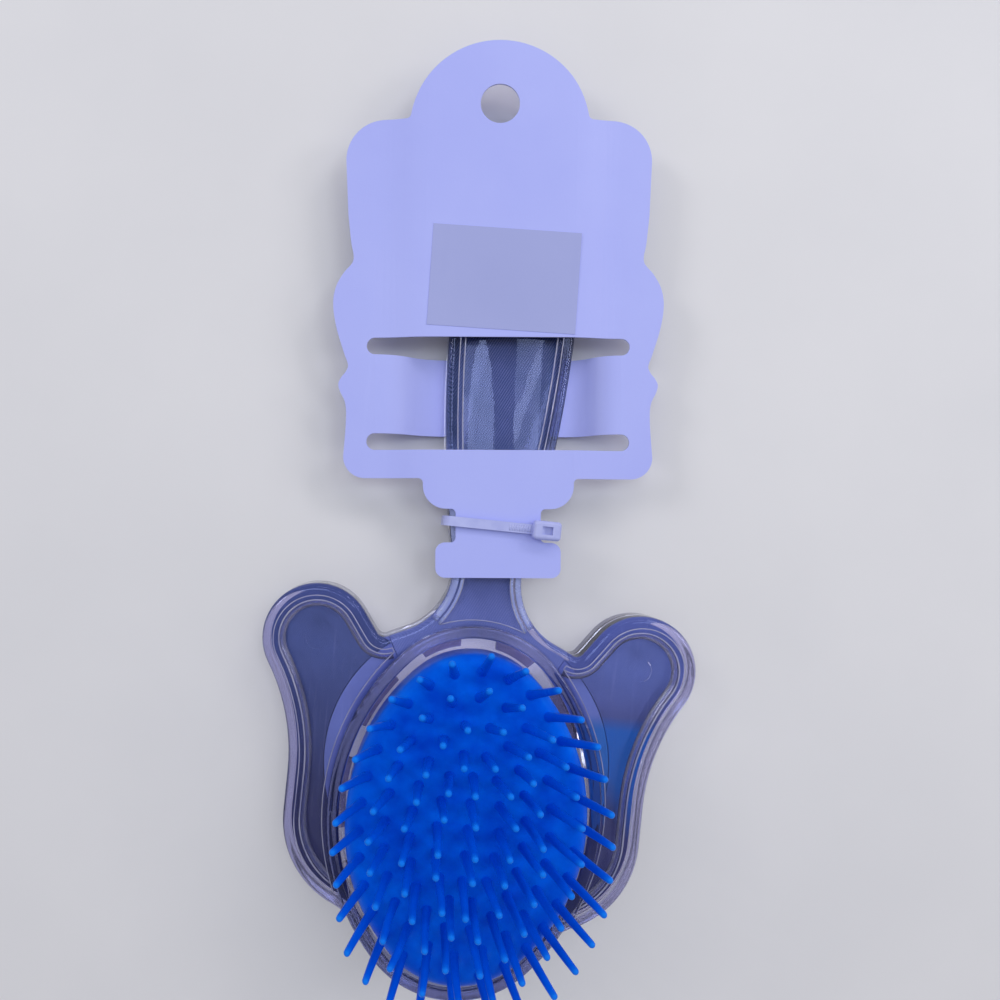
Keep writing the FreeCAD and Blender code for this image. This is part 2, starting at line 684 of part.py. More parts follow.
def card_outline():
    """The outline of the hang card: tab, neck, funnel, wide body, upper tier and dome."""
    corners = [
        (TAB_HALF_WIDTH, TAB_FOOT_Y, TAB_ROUND),
        (TAB_HALF_WIDTH, TAB_TOP_Y, TAB_ROUND),
        (CARD_NECK_HALF_WIDTH, TAB_TOP_Y, CORNER_ROUND),
        (CARD_NECK_HALF_WIDTH, NECK_TOP_Y, CORNER_ROUND),
        (FUNNEL_HALF_WIDTH, NECK_TOP_Y, FUNNEL_ROUND),
        (FUNNEL_HALF_WIDTH, FOOT_Y, CORNER_ROUND),
        (CARD_HALF_WIDTH, FOOT_Y, CARD_FOOT_ROUND),
        (CARD_HALF_WIDTH, BUMP_LIFT - BUMP_HALF_HEIGHT, CORNER_ROUND),
        (CARD_HALF_WIDTH + BUMP_REACH, BUMP_LIFT, CORNER_ROUND),
        (CARD_HALF_WIDTH, BUMP_TOP_Y, CORNER_ROUND),
        (CARD_HALF_WIDTH + BULGE_REACH, BULGE_Y, BULGE_ROUND),
        (CARD_HALF_WIDTH - TIER_SET, TIER_FOOT_Y, CORNER_ROUND),
        (CARD_HALF_WIDTH, TIER_Y, TIER_ROUND),
    ]
    dome = Vector(0, DOME_Y, 0)
    dome_reach = DOME_RADIUS + CORNER_ROUND
    blend_rise = DOME_SINK + CORNER_ROUND
    blend = Vector(math.sqrt(dome_reach**2 - blend_rise**2), DOME_Y + blend_rise, 0)
    points = [Vector(x, y, 0) for x, y, radius in corners]
    ends = [Vector(0, TAB_FOOT_Y, 0)] + points + [Vector(blend.x, TIER_Y, 0)]
    right = [corner(*ends[i : i + 3], corners[i][2]) for i in range(len(corners))]
    right.append(arc(blend, CORNER_ROUND, -90, heading(blend, dome)))
    right.append(arc(dome, DOME_RADIUS, heading(dome, blend), 90))
    return round_face(mirrored(right))


def bent_sheet(left_flat, right_flat, height):
    """A sheet that runs level at both sides and bends to another height across the handle."""
    below = s_bend(Vector(-STRAP_HALF_LENGTH, CARD_LEVEL, 0), Vector(-left_flat, height, 0))
    below += s_bend(Vector(right_flat, height, 0), Vector(STRAP_HALF_LENGTH, CARD_LEVEL, 0))
    ends = [Vector(-CARD_SPREAD, CARD_LEVEL, 0), Vector(CARD_SPREAD, CARD_LEVEL, 0)]
    up = Vector(0, CARD_THICKNESS, 0)
    above = [[point + up for point in reversed(span)] for span in reversed(below)]
    edges = path_edges(below + below[:1])[:-1] + path_edges(above + above[:1])[:-1]
    edges += Part.makePolygon([below[-1][-1], ends[1], ends[1] + up, above[0][0]]).Edges
    edges += Part.makePolygon([above[-1][-1], ends[0] + up, ends[0], below[0][0]]).Edges
    face = Part.Face(Part.Wire(Part.__sortEdges__(edges)))
    return upright_prism(face, TAB_FOOT_Y - OVERRUN, CARD_TOP_Y + OVERRUN)


def on_handle(shape):
    """Moves a shape from the card's own frame to where the card is tied to the handle."""
    shape.translate(Vector(0, -NECK_MIDDLE_Y, 0))
    shape.rotate(Vector(0, 0, 0), Vector(0, 0, 1), CARD_LEAN)
    shape.translate(Vector(CARD_SHIFT, TIE_Y, 0))
    return shape


def hang_card():
    """The card: it lies over the handle above and below, and its strap passes behind the handle."""
    low = CARD_BEHIND - OVERRUN
    high = CARD_FRONT + OVERRUN
    strap_corner = Vector(-STRAP_HALF_LENGTH, -SLOT_Y, 0)
    strap_block = prism(Part.makePlane(2 * STRAP_HALF_LENGTH, 2 * SLOT_Y, strap_corner), low, high)
    sheet = bent_sheet(CARD_FLAT_HALF, CARD_FLAT_HALF, CARD_FRONT)
    strap = bent_sheet(STRAP_LEFT_FLAT, STRAP_RIGHT_FLAT, CARD_BEHIND).common(strap_block)
    card = sheet.common(prism(card_outline(), low, high)).cut(strap_block).fuse(strap)
    for y in (-SLOT_Y, SLOT_Y):
        card = card.cut(prism(slot_face(y), low, high))
    hole = disc(HANG_HOLE_RADIUS, 0, CARD_TOP_Y - HANG_HOLE_FALL)
    return on_handle(card.cut(prism(hole, low, high)).removeSplitter())


def slot_face(y):
    """A slot across the card with round ends."""
    right = arc(Vector(STRAP_HALF_LENGTH, y, 0), SLOT_HEIGHT / 2, -90, 90)
    left = arc(Vector(-STRAP_HALF_LENGTH, y, 0), SLOT_HEIGHT / 2, 90, 270)
    return round_face([right, left])


def card_label():
    """The blank label stuck on the card above its upper slot."""
    label_corner = Vector(-LABEL_WIDTH / 2, -LABEL_HEIGHT / 2, 0)
    label = Part.makeBox(LABEL_WIDTH, LABEL_HEIGHT, LABEL_THICKNESS, label_corner)
    label.rotate(Vector(0, 0, 0), Vector(0, 0, 1), LABEL_TURN)
    lift = SLOT_TOP_Y + LABEL_LIFT + LABEL_HEIGHT / 2
    label.translate(Vector(LABEL_SHIFT, lift, CARD_FRONT + CARD_THICKNESS))
    return on_handle(label)


def cable_tie():
    """The tie round the handle and the card's neck, with its head at the right."""
    fall = WIDEST_Y - TIE_Y
    handle_half = HANDLE_HALF_WIDTH - HANDLE_SIDE_RADIUS + math.sqrt(HANDLE_SIDE_RADIUS**2 - fall**2)
    left = -handle_half - TIE_GAP
    right = max(handle_half, CARD_SHIFT + CARD_NECK_HALF_WIDTH) + TIE_GAP
    bottom = HANDLE_LIFT - TIE_GAP
    top = CARD_FRONT + CARD_THICKNESS + TIE_GAP / 2
    outer = loop_face(left, right, bottom, top, TIE_THICKNESS)
    inner = loop_face(left, right, bottom, top, 0)
    start = TIE_Y - TIE_WIDTH / 2
    end = TIE_Y + TIE_WIDTH / 2
    loop = upright_prism(outer, start, end).cut(upright_prism(inner, start - OVERRUN, end + OVERRUN))
    return loop.fuse(tie_head(right + TIE_THICKNESS / 2, top)).removeSplitter()


def loop_face(left, right, bottom, top, grow):
    """A rounded box section, grown evenly."""
    x0, x1, z0, z1 = left - grow, right + grow, bottom - grow, top + grow
    points = [Vector(x1, z0, 0), Vector(x1, z1, 0), Vector(x0, z1, 0), Vector(x0, z0, 0)]
    around = points[-1:] + points + points[:1]
    return round_face([corner(*around[i : i + 3], TIE_CORNER + grow) for i in range(len(points))])


def tie_head(x, z):
    """The head of the tie: a rounded block with a window on its pawl."""
    corner_point = Vector(x - TIE_HEAD_LENGTH / 2, TIE_Y - TIE_HEAD_WIDTH / 2, z)
    head = Part.makeBox(TIE_HEAD_LENGTH, TIE_HEAD_WIDTH, TIE_HEAD_HEIGHT, corner_point)
    head = head.makeFillet(TIE_HEAD_ROUND, head.Edges)
    floor = z + TIE_HEAD_HEIGHT - TIE_WINDOW_DEPTH
    window_corner = Vector(x - TIE_WINDOW_LENGTH / 2, TIE_Y - TIE_WINDOW_WIDTH / 2, floor)
    window = Part.makeBox(TIE_WINDOW_LENGTH, TIE_WINDOW_WIDTH, TIE_WINDOW_DEPTH + OVERRUN, window_corner)
    pawl = Part.makeBox(TIE_PAWL_THICKNESS, TIE_WINDOW_WIDTH, TIE_WINDOW_DEPTH / 2, window_corner)
    return head.cut(window.cut(pawl))


def build():
    """Every named piece of the brush."""
    seats = pin_seats()
    pin = pin_shape()
    nodes = {
        "back_shell": back_shell(),
        "front_shell": front_shell(),
        "pad_base": pad_base(),
        "pad_cushion": pad_cushion([seat for ring in seats.values() for seat in ring]),
        "pin_backing": pin_backing(),
        "hang_card": hang_card(),
        "card_label": card_label(),
        "cable_tie": cable_tie(),
    }
    nodes.update(films())
    for name, ring in seats.items():
        nodes[name] = Part.makeCompound([placed(pin, seat) for seat in ring])
    return nodes


os.makedirs("parts", exist_ok=True)
for name, shape in build().items():
    shape.exportStep(f"parts/{name}.step")
    print(name, len(shape.Solids), round(shape.Volume, 1), shape.isValid())
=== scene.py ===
import math
import random

import bmesh
import bpy
from mathutils import Matrix, Vector, noise


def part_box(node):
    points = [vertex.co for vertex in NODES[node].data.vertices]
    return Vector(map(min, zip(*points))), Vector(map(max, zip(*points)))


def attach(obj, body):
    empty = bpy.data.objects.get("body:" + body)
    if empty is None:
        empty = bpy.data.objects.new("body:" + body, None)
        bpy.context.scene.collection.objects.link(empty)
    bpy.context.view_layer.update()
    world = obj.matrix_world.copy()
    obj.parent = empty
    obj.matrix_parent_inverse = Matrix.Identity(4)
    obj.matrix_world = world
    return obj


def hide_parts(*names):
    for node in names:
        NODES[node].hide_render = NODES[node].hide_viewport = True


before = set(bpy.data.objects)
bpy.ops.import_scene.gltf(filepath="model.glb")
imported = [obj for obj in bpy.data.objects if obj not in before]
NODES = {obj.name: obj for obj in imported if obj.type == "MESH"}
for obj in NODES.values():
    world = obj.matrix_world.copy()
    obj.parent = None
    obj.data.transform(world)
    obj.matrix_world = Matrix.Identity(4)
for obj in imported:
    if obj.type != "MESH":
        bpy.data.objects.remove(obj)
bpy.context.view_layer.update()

MM = 0.001
SAME_SPOT = 0.001 * MM
SAME_LEVEL = 0.005 * MM

# Lengths that follow are in millimetres, and angles in radians.

# Cushion, as the solid model has it
PAD_HALF_WIDTH = 29.2
PAD_HALF_LENGTH = 40.3
PAD_END_RADIUS = 21.2
PAD_TOP = 20.0
PAD_FOOT = 7.0
PAD_SKIN = 2.0
PAD_EDGE = 3.5
CROWN_RADIUS = 300.0

# Mesh of the cushion: steps round it, steps over its edge, rows to its middle, the rows over which its soft
# forms begin, and the share of the outline and the drop below the skin of each ring on its underside
PAD_STEPS = 288
PAD_EDGE_STEPS = 8
PAD_ROWS = 46
LIFT_ROWS = 3
UNDERSIDE = ((0.35, 0.4), (0.7, 0.4), (0.95, 0.4), (1.0, 2.5))

# Soft forms of the rubber: a collar round each pin, hollows between the collars and a slow wave
PIN_COLLAR_LIFT = 0.3
PIN_COLLAR_REACH = 2.6
PIN_COLLAR_FADE = 1.0
HOLLOW_DEPTH = 0.14
HOLLOW_FADE = 1.2
WAVE_HEIGHT = 0.1
WAVE_RATE = 0.09
WAVE_SLICE = 3.0

# Pins, as the solid model has them
PIN_RINGS = 4
PIN_EDGE = 3.6
PIN_PITCH = 6.1
PIN_SPACING = 6.4
PIN_LENGTH = 14.5
PIN_ROOT = 1.1
PIN_TIP = 0.8
PIN_SPLAY = math.radians(27.0)
PIN_SPLAY_POWER = 1.5
MIDDLE_PINS = 5
MIDDLE_ROW = 12.3
RING_STEPS = 720

# Moulding of the pins: how deep they root, their flare as heights and shares of the root, and how uneven
# they are
PIN_SIDES = 14
PIN_SUNK = 2.6
PIN_FLARE = ((0.0, 1.14), (0.5, 1.05), (1.3, 1.0))
PIN_TAPER_STEPS = 7
PIN_TIP_STEPS = 5
PIN_TILT = 0.03
PIN_BEND = 0.32
PIN_LENGTH_SHARES = (0.972, 0.995)
PIN_SEED = 7

# Clear front: levels, the flat and the round of its rim, and the distance from the middle that only the lobes
# reach
RIM_TOP = 9.6
RIM_FLAT = 1.4
RIM_ROUND = 1.6
STEP_TOP = 8.8
PANEL_TOP = 7.4
LOBE_FROM = 20.0

# Tints of the clear front, where a pair is a soft change from the first place to the second. Those of the
# collar and the ledge's outside are shares of the head's oval
HEAD_HALF_WIDTH = 35.0
HEAD_HALF_LENGTH = 47.5
RAISED = (8.0, 8.9)
COLLAR_OUTSIDE = (0.99, 0.97)
COLLAR_INSIDE = (0.87, 0.89)
LEDGE_FOOT = (3.9, 4.1)
LEDGE_TOP = (7.8, 7.2)
LEDGE_OUTSIDE = (0.925, 0.91)
HANDLE_WIDEST = 127.7
HANDLE_SIDE_RADIUS = 320.0
# Painted shade on the handle's rim: how far out it begins, and where along the handle it begins
HANDLE_RIM_SHADE = (12.7, 13.0)
HANDLE_RIM_SHADE_START = (88.0, 94.0)
CLEAR_IOR = 1.49

# Trim of the clear front, pale and partly diffuse as painted glints and glow: beads on its inner edges, coves
# in the lobe panels, and bands on the rim beside the neck, as distances from its inner edge
RIM_BEAD = 0.14
STEP_BEAD = 0.2
BEAD_SIDES = 8
BEAD_SINK = 0.55
COVE_RUN = 1.5
COVE_BELOW_EDGE = 0.3
COVE_CLEARANCE = 0.02
COVE_STEPS = 6
NECK_FOOT = 46.0
NECK_TOP = 84.0
NECK_END_RUN = 1.7
NECK_BANDS = ((0.16, 0.75), (1.25, 2.8))
NECK_BAND_STEPS = 6
NECK_BAND_ABOVE = 0.03
NECK_BAND_BELOW = 0.02

# Films: the pitch of their threads, the painted reflection of the blue cushion on the right with its slanted
# foot, and their margins
FILM_PITCH = 0.5
HANDLE_FILM_PITCH = 0.56
REFLECTION_TOP = (26.2, 22.6)
REFLECTION_FOOT = (46.0, 56.0)
REFLECTION_SLANT = 1.2
MARGIN_GROWTH = 0.45
MARGIN_LEVELS = (3.612, 3.642)

# Hang card, in its own frame: half its width, how it lies, and how far its side reaches past the half width
# at each height
CARD_HALF_WIDTH = 38.8
CARD_LEAN = math.radians(5.6)
CARD_TIED_AT = Vector((1.2, 71.8))
CARD_NECK = Vector((0, -33.0))
CARD_SIDE = (
    (-15.8, 0.0), (-8.0, -0.6), (-4.0, -0.65), (-1.6, -0.2), (0.4, 0.8), (2.4, 1.3), (4.0, 0.65),
    (5.6, -0.6), (7.2, -1.1), (10.0, -0.15), (17.0, 1.95), (22.8, 2.7), (27.0, 1.95), (30.3, 0.1),
    (33.4, -2.3), (38.0, -1.75), (45.0, -1.01),
)

# Cutting the card's sides: where their walls are, how finely they are divided, and the angles that count as
# flat and as sharp
CARD_SIDE_FROM = 35.0
CARD_WALL_BELOW = 1.0
CARD_WALL_ABOVE = 20.0
CARD_SIDE_STEP = 0.35
CARD_FLATNESS = 0.005
CARD_SHARPNESS = 0.5

# Teeth on the strap of the tie: their row beside the head, and their profile along the strap
TIE_STRAP_TOP = 11.65
TIE_HEAD_LENGTH = 6.9
TOOTH_START = 0.5
TOOTH_COUNT = 9
TOOTH_PITCH = 0.62
TOOTH_HALF_WIDTH = 0.85
TOOTH_TOP_SHARE = 0.9
TOOTH_PROFILE = ((-0.24, -0.05), (-0.08, 0.16), (0.08, 0.16), (0.24, -0.05))

# Reading the solids: the upward part of its normal below which a face is a wall, the least angle at an edge
# that carries trim, and the number of points that a chain of such edges has to pass
UPRIGHT = 0.1
EDGE_ANGLE = 0.8
CHAIN_POINTS = 12

# Floor, light and camera, in metres
FLOOR_HALF = 2.0
FLOOR_LEVEL = -0.00015
NEUTRAL_LIGHT = (1.0, 0.98, 1.0)
COOL_LIGHT = (0.78, 0.88, 1.0)
STREAK_LIGHT = (0.86, 0.92, 1.0)
ROOM_STRENGTH = 0.48
CAMERA_SPOT = (-0.0245, 0.0706, 0.1901)
CAMERA_TURN = math.radians(5.9)
CAMERA_NEAR = 0.01


# Shader building


def feed(tree, socket, value):
    """Links a socket to another, or sets its own value."""
    if isinstance(value, bpy.types.NodeSocket):
        tree.links.new(value, socket)
    else:
        socket.default_value = value


def add(tree, kind, values=None, **settings):
    """A new shader node with its settings and inputs."""
    made = tree.nodes.new(kind)
    for key, value in settings.items():
        setattr(made, key, value)
    for key, value in (values or {}).items():
        feed(tree, made.inputs[key], value)
    return made


def mix(tree, share, first, second):
    """A blend of two colours. The node's sockets share their names, so these are found by their places."""
    values = {0: share, 6: first, 7: second}
    return add(tree, "ShaderNodeMix", values, data_type="RGBA").outputs[2]


def calc(tree, operation, *values):
    """A value worked out from one or two others."""
    return add(tree, "ShaderNodeMath", dict(enumerate(values)), operation=operation).outputs[0]


def times(tree, first, second):
    """A product of two values."""
    return calc(tree, "MULTIPLY", first, second)


def spread(tree, value, low, high, to_low=0.0, to_high=1.0):
    """A value carried from one range to another."""
    values = {"Value": value, "From Min": low, "From Max": high, "To Min": to_low, "To Max": to_high}
    return add(tree, "ShaderNodeMapRange", values).outputs["Result"]


def between(tree, mask, low, high):
    """A value between two, as a mask says."""
    return spread(tree, mask, 0.0, 1.0, low, high)


def passing(tree, distance, change):
    """A mask that grows from 0 to 1 over a change in millimetres."""
    return spread(tree, distance, change[0] * MM, change[1] * MM)


def own_place(tree):
    """The place on the piece."""
    return add(tree, "ShaderNodeTexCoord").outputs["Object"]


def parts(tree, vector):
    """The three parts of a vector."""
    return add(tree, "ShaderNodeSeparateXYZ", {"Vector": vector}).outputs


def cloudy(tree, place, scale, detail, rough=0.5):
    """Soft noise over the piece."""
    values = {"Vector": place, "Scale": scale, "Detail": detail, "Roughness": rough}
    return add(tree, "ShaderNodeTexNoise", values).outputs["Fac"]


def rgb(red, green, blue):
    """A solid colour."""
    return (red, green, blue, 1.0)


# Effects that materials share

FLOAT = "NodeSocketFloat"
COLOR = "NodeSocketColor"
VECTOR = "NodeSocketVector"


def new_group(name, inputs, outputs):
    """An empty node group with its sockets."""
    tree = bpy.data.node_groups.new(name, "ShaderNodeTree")
    for label, kind, value in inputs:
        socket = tree.interface.new_socket(label, in_out="INPUT", socket_type=kind)
        socket.default_value = value
    for label, kind in outputs:
        tree.interface.new_socket(label, in_out="OUTPUT", socket_type=kind)
    return tree, tree.nodes.new("NodeGroupInput").outputs, tree.nodes.new("NodeGroupOutput").inputs


def make_mottle():
    """Cloudy changes from one colour to another."""
    inputs = [("Color", COLOR, rgb(1, 1, 1)), ("Shade", COLOR, rgb(0, 0, 0)), ("Scale", FLOAT, 100.0)]
    tree, given, result = new_group("mottle", inputs, [("Color", COLOR), ("Mask", FLOAT)])
    mask = spread(tree, cloudy(tree, own_place(tree), given["Scale"], 4.0, 0.55), 0.34, 0.68)
    feed(tree, result["Color"], mix(tree, mask, given["Color"], given["Shade"]))
    feed(tree, result["Mask"], mask)
    return tree


def make_grain():
    """A fine uneven surface."""
    inputs = [("Scale", FLOAT, 1000.0), ("Depth", FLOAT, 0.0001), ("Strength", FLOAT, 0.3)]
    tree, given, result = new_group("grain", inputs, [("Normal", VECTOR), ("Height", FLOAT)])
    height = cloudy(tree, own_place(tree), given["Scale"], 3.0, 0.6)
    values = {"Height": height, "Distance": given["Depth"], "Strength": given["Strength"]}
    feed(tree, result["Normal"], add(tree, "ShaderNodeBump", values).outputs["Normal"])
    feed(tree, result["Height"], height)
    return tree


def make_weave():
    """Fine slanted threads, a little uneven."""
    inputs = [("Pitch", FLOAT, 0.0005), ("Slant", FLOAT, 0.45)]
    tree, given, result = new_group("weave", inputs, [("Mask", FLOAT), ("Normal", VECTOR)])
    place = own_place(tree)
    values = {"Vector": place, "Angle": given["Slant"]}
    turned = add(tree, "ShaderNodeVectorRotate", values, rotation_type="Z_AXIS").outputs["Vector"]
    count = calc(tree, "DIVIDE", parts(tree, turned)["X"], given["Pitch"])
    wave = calc(tree, "SINE", times(tree, count, 2 * math.pi))
    thread = spread(tree, wave, -1.0, 1.0)
    values = {"Height": thread, "Distance": 0.03 * MM, "Strength": 0.25}
    feed(tree, result["Mask"], times(tree, thread, cloudy(tree, place, 160.0, 2.0)))
    feed(tree, result["Normal"], add(tree, "ShaderNodeBump", values).outputs["Normal"])
    return tree


def make_hairlines():
    """Fine rubbed lines and a few specks."""
    tree, given, result = new_group("hairlines", [("Scale", FLOAT, 60.0)], [("Mask", FLOAT)])
    place = own_place(tree)
    values = {"Vector": place, "Rotation": (0, 0, 0.5), "Scale": (24.0, 1.0, 1.0)}
    stretched = add(tree, "ShaderNodeMapping", values).outputs["Vector"]
    rubbed = spread(tree, cloudy(tree, stretched, given["Scale"], 2.0), 0.6, 0.75)
    specks = add(tree, "ShaderNodeTexVoronoi", {"Vector": place, "Scale": 420.0}).outputs["Distance"]
    feed(tree, result["Mask"], calc(tree, "MAXIMUM", rubbed, spread(tree, specks, 0.07, 0.03)))
    return tree


MOTTLE = make_mottle()
GRAIN = make_grain()
WEAVE = make_weave()
HAIRLINES = make_hairlines()


# Materials


def new_material(name):
    """A material with its shader."""
    material = bpy.data.materials.new(name)
    material.use_nodes = True
    tree = material.node_tree
    return material, tree, tree.nodes["Principled BSDF"]


def use(tree, group, values=None):
    """A shared effect in a material."""
    return add(tree, "ShaderNodeGroup", values, node_tree=group).outputs


def setup(tree, shader, values):
    """Sets or links the shader's sockets."""
    for key, value in values.items():
        feed(tree, shader.inputs[key], value)


def head_reach(tree, place):
    """How far out a place is, as a share of the head's oval."""
    scale = (1 / (HEAD_HALF_WIDTH * MM), 1 / (HEAD_HALF_LENGTH * MM), 0.0)
    squeezed = add(tree, "ShaderNodeVectorMath", {0: place, 1: scale}, operation="MULTIPLY").outputs[0]
    return add(tree, "ShaderNodeVectorMath", {0: squeezed}, operation="LENGTH").outputs["Value"]


def handle_rim_shade_mask(tree, x, y):
    """Where the handle's rim gets its darker tint, a painted shade: outside the long arcs of its sides, from a
    point along the handle.
    """
    along = calc(tree, "SUBTRACT", y, HANDLE_WIDEST * MM)
    fall = calc(tree, "DIVIDE", times(tree, along, along), 2 * HANDLE_SIDE_RADIUS * MM)
    outward = calc(tree, "ADD", calc(tree, "ABSOLUTE", x), fall)
    return times(tree, passing(tree, outward, HANDLE_RIM_SHADE), passing(tree, y, HANDLE_RIM_SHADE_START))


def clear_plastic(name, clarity):
    """Clear moulding that lets the lamps through to what lies under it."""
    material, tree, shader = new_material(name)
    colours = {"Color": rgb(0.83, 0.815, 0.925), "Shade": rgb(0.79, 0.785, 0.905), "Scale": 45.0}
    tint = use(tree, MOTTLE, colours)
    rubbed = use(tree, HAIRLINES)
    wavy = use(tree, GRAIN, {"Scale": 90.0, "Depth": 0.0004, "Strength": 0.1})
    place = own_place(tree)
    x, y, height = parts(tree, place)
    reach = head_reach(tree, place)
    raised = passing(tree, height, RAISED)
    on_ring = times(tree, spread(tree, reach, *COLLAR_OUTSIDE), spread(tree, reach, *COLLAR_INSIDE))
    at_ledge = times(tree, passing(tree, height, LEDGE_FOOT), passing(tree, height, LEDGE_TOP))
    ledge = times(tree, at_ledge, spread(tree, reach, *LEDGE_OUTSIDE))
    colour = mix(tree, raised, tint["Color"], rgb(0.62, 0.6, 0.82))
    # Painted shade: the rim along the far part of the handle is tinted darker
    colour = mix(tree, handle_rim_shade_mask(tree, x, y), colour, rgb(0.37, 0.39, 0.53))
    colour = mix(tree, ledge, colour, rgb(0.3, 0.28, 0.46))
    values = {
        "Base Color": mix(tree, times(tree, raised, on_ring), colour, rgb(0.16, 0.19, 0.42)),
        "Roughness": between(tree, rubbed["Mask"], 0.035, 0.16),
        "IOR": CLEAR_IOR,
        "Specular Tint": rgb(0.6, 0.66, 1.0),
        "Transmission Weight": clarity,
        "Normal": wavy["Normal"],
    }
    setup(tree, shader, values)
    through = add(tree, "ShaderNodeBsdfTransparent", {"Color": rgb(0.92, 0.92, 0.97)})
    shadow = add(tree, "ShaderNodeLightPath").outputs["Is Shadow Ray"]
    both = add(tree, "ShaderNodeMixShader", {0: shadow, 1: shader.outputs[0], 2: through.outputs[0]})
    tree.links.new(both.outputs[0], tree.nodes["Material Output"].inputs["Surface"])
    return material


def painted_glint_edge():
    """The rounded edges of the clear moulding, pale and partly diffuse so that they show as bright lines under
    any light: a painted glint.
    """
    material, tree, shader = new_material("painted_glint_edge")
    colours = {"Color": rgb(0.8, 0.8, 0.96), "Shade": rgb(0.5, 0.52, 0.78), "Scale": 130.0}
    tint = use(tree, MOTTLE, colours)
    rubbed = use(tree, HAIRLINES)
    values = {
        "Base Color": tint["Color"],
        "Roughness": between(tree, rubbed["Mask"], 0.1, 0.2),
        "IOR": CLEAR_IOR,
        "Transmission Weight": 0.6,
    }
    setup(tree, shader, values)
    return material


def rim_bloom():
    """The rim beside the neck, pale and partly diffuse: a painted glow in place of the light that the plastic
    carries to its edge.
    """
    material, tree, shader = new_material("rim_bloom")
    colours = {"Color": rgb(0.54, 0.62, 0.97), "Shade": rgb(0.42, 0.49, 0.92), "Scale": 160.0}
    tint = use(tree, MOTTLE, colours)
    skin = use(tree, GRAIN, {"Scale": 1500.0, "Depth": 0.00005, "Strength": 0.3})
    values = {
        "Base Color": tint["Color"],
        "Roughness": between(tree, tint["Mask"], 0.2, 0.32),
        "IOR": CLEAR_IOR,
        "Transmission Weight": 0.45,
        "Normal": skin["Normal"],
    }
    setup(tree, shader, values)
    return material


def panel_cove():
    """The hollow round at the foot of the sunk panels' walls, clear with a faint painted bloom: a pale diffuse
    part that lightens it.
    """
    material, tree, shader = new_material("panel_cove")
    colours = {"Color": rgb(0.6, 0.61, 0.88), "Shade": rgb(0.42, 0.44, 0.74), "Scale": 60.0}
    tint = use(tree, MOTTLE, colours)
    rubbed = use(tree, HAIRLINES)
    values = {
        "Base Color": tint["Color"],
        "Roughness": between(tree, rubbed["Mask"], 0.12, 0.25),
        "IOR": CLEAR_IOR,
        "Transmission Weight": 0.85,
    }
    setup(tree, shader, values)
    return material


def painted_reflection_mask(tree, x, y, with_foot):
    """The painted reflection of the blue cushion: below a level line, and where it has a foot, above a slanted
    one.
    """
    reflected_share = passing(tree, y, REFLECTION_TOP)
    if with_foot:
        slanted = calc(tree, "ADD", y, times(tree, x, REFLECTION_SLANT))
        reflected_share = times(tree, reflected_share, passing(tree, slanted, REFLECTION_FOOT))
    return reflected_share


def film(name, colour, shade, pitch=FILM_PITCH, contrast=0.15, dust=0.3, change=None, painted_reflection=None, foot=False):
    """The plain back of a print, with fine slanted threads and specks. Where given, it changes to another
    colour along the part, between two places, or has a painted reflection of the blue cushion."""
    material, tree, shader = new_material(name)
    cloud = use(tree, MOTTLE, {"Color": colour, "Shade": shade, "Scale": 70.0})
    threads = use(tree, WEAVE, {"Pitch": pitch * MM})
    specks = use(tree, HAIRLINES, {"Scale": 40.0})
    x, y, _ = parts(tree, own_place(tree))
    ground = cloud["Color"]
    if change:
        other, *places = change
        ground = mix(tree, passing(tree, y, places), ground, other)
    if painted_reflection:
        # Painted reflection of the blue cushion, as a teal colour over the film
        ground = mix(tree, painted_reflection_mask(tree, x, y, foot), ground, painted_reflection)
    light = mix(tree, 0.28, ground, rgb(0.42, 0.46, 0.8))
    woven = mix(tree, spread(tree, threads["Mask"], 0.0, 0.7, 0.0, contrast), ground, light)
    values = {
        "Base Color": mix(tree, between(tree, specks["Mask"], 0.0, dust), woven, light),
        "Roughness": between(tree, cloud["Mask"], 0.42, 0.56),
        "Specular IOR Level": 0.12,
        "Normal": threads["Normal"],
    }
    setup(tree, shader, values)
    return material


def cushion_rubber():
    """Soft blue rubber with half a gloss."""
    material, tree, shader = new_material("cushion_rubber")
    colours = {"Color": rgb(0.0005, 0.13, 0.79), "Shade": rgb(0.0005, 0.066, 0.62), "Scale": 120.0}
    cloud = use(tree, MOTTLE, colours)
    skin = use(tree, GRAIN, {"Scale": 2600.0, "Depth": 0.00006, "Strength": 0.35})
    values = {
        "Base Color": cloud["Color"],
        "Roughness": spread(tree, skin["Height"], 0.3, 0.7, 0.3, 0.42),
        "Specular IOR Level": 0.14,
        "Specular Tint": rgb(0.03, 0.4, 1.0),
        "Normal": skin["Normal"],
    }
    setup(tree, shader, values)
    return material


def pin_plastic():
    """Smooth blue pins, paler towards the tip as a painted highlight."""
    material, tree, shader = new_material("pin_plastic")
    colours = {"Color": rgb(0.0005, 0.11, 0.76), "Shade": rgb(0.0005, 0.09, 0.68), "Scale": 260.0}
    cloud = use(tree, MOTTLE, colours)
    skin = use(tree, GRAIN, {"Scale": 900.0, "Depth": 0.00005, "Strength": 0.25})
    along = parts(tree, add(tree, "ShaderNodeUVMap").outputs["UV"])["Y"]
    values = {
        # Painted highlight: the pins grow paler over the last part towards the tip
        "Base Color": mix(tree, spread(tree, along, 0.86, 1.0), cloud["Color"], rgb(0.006, 0.18, 0.8)),
        "Roughness": between(tree, cloud["Mask"], 0.26, 0.36),
        "Specular IOR Level": 0.2,
        "Specular Tint": rgb(0.1, 0.5, 1.0),
        "Normal": skin["Normal"],
    }
    setup(tree, shader, values)
    return material


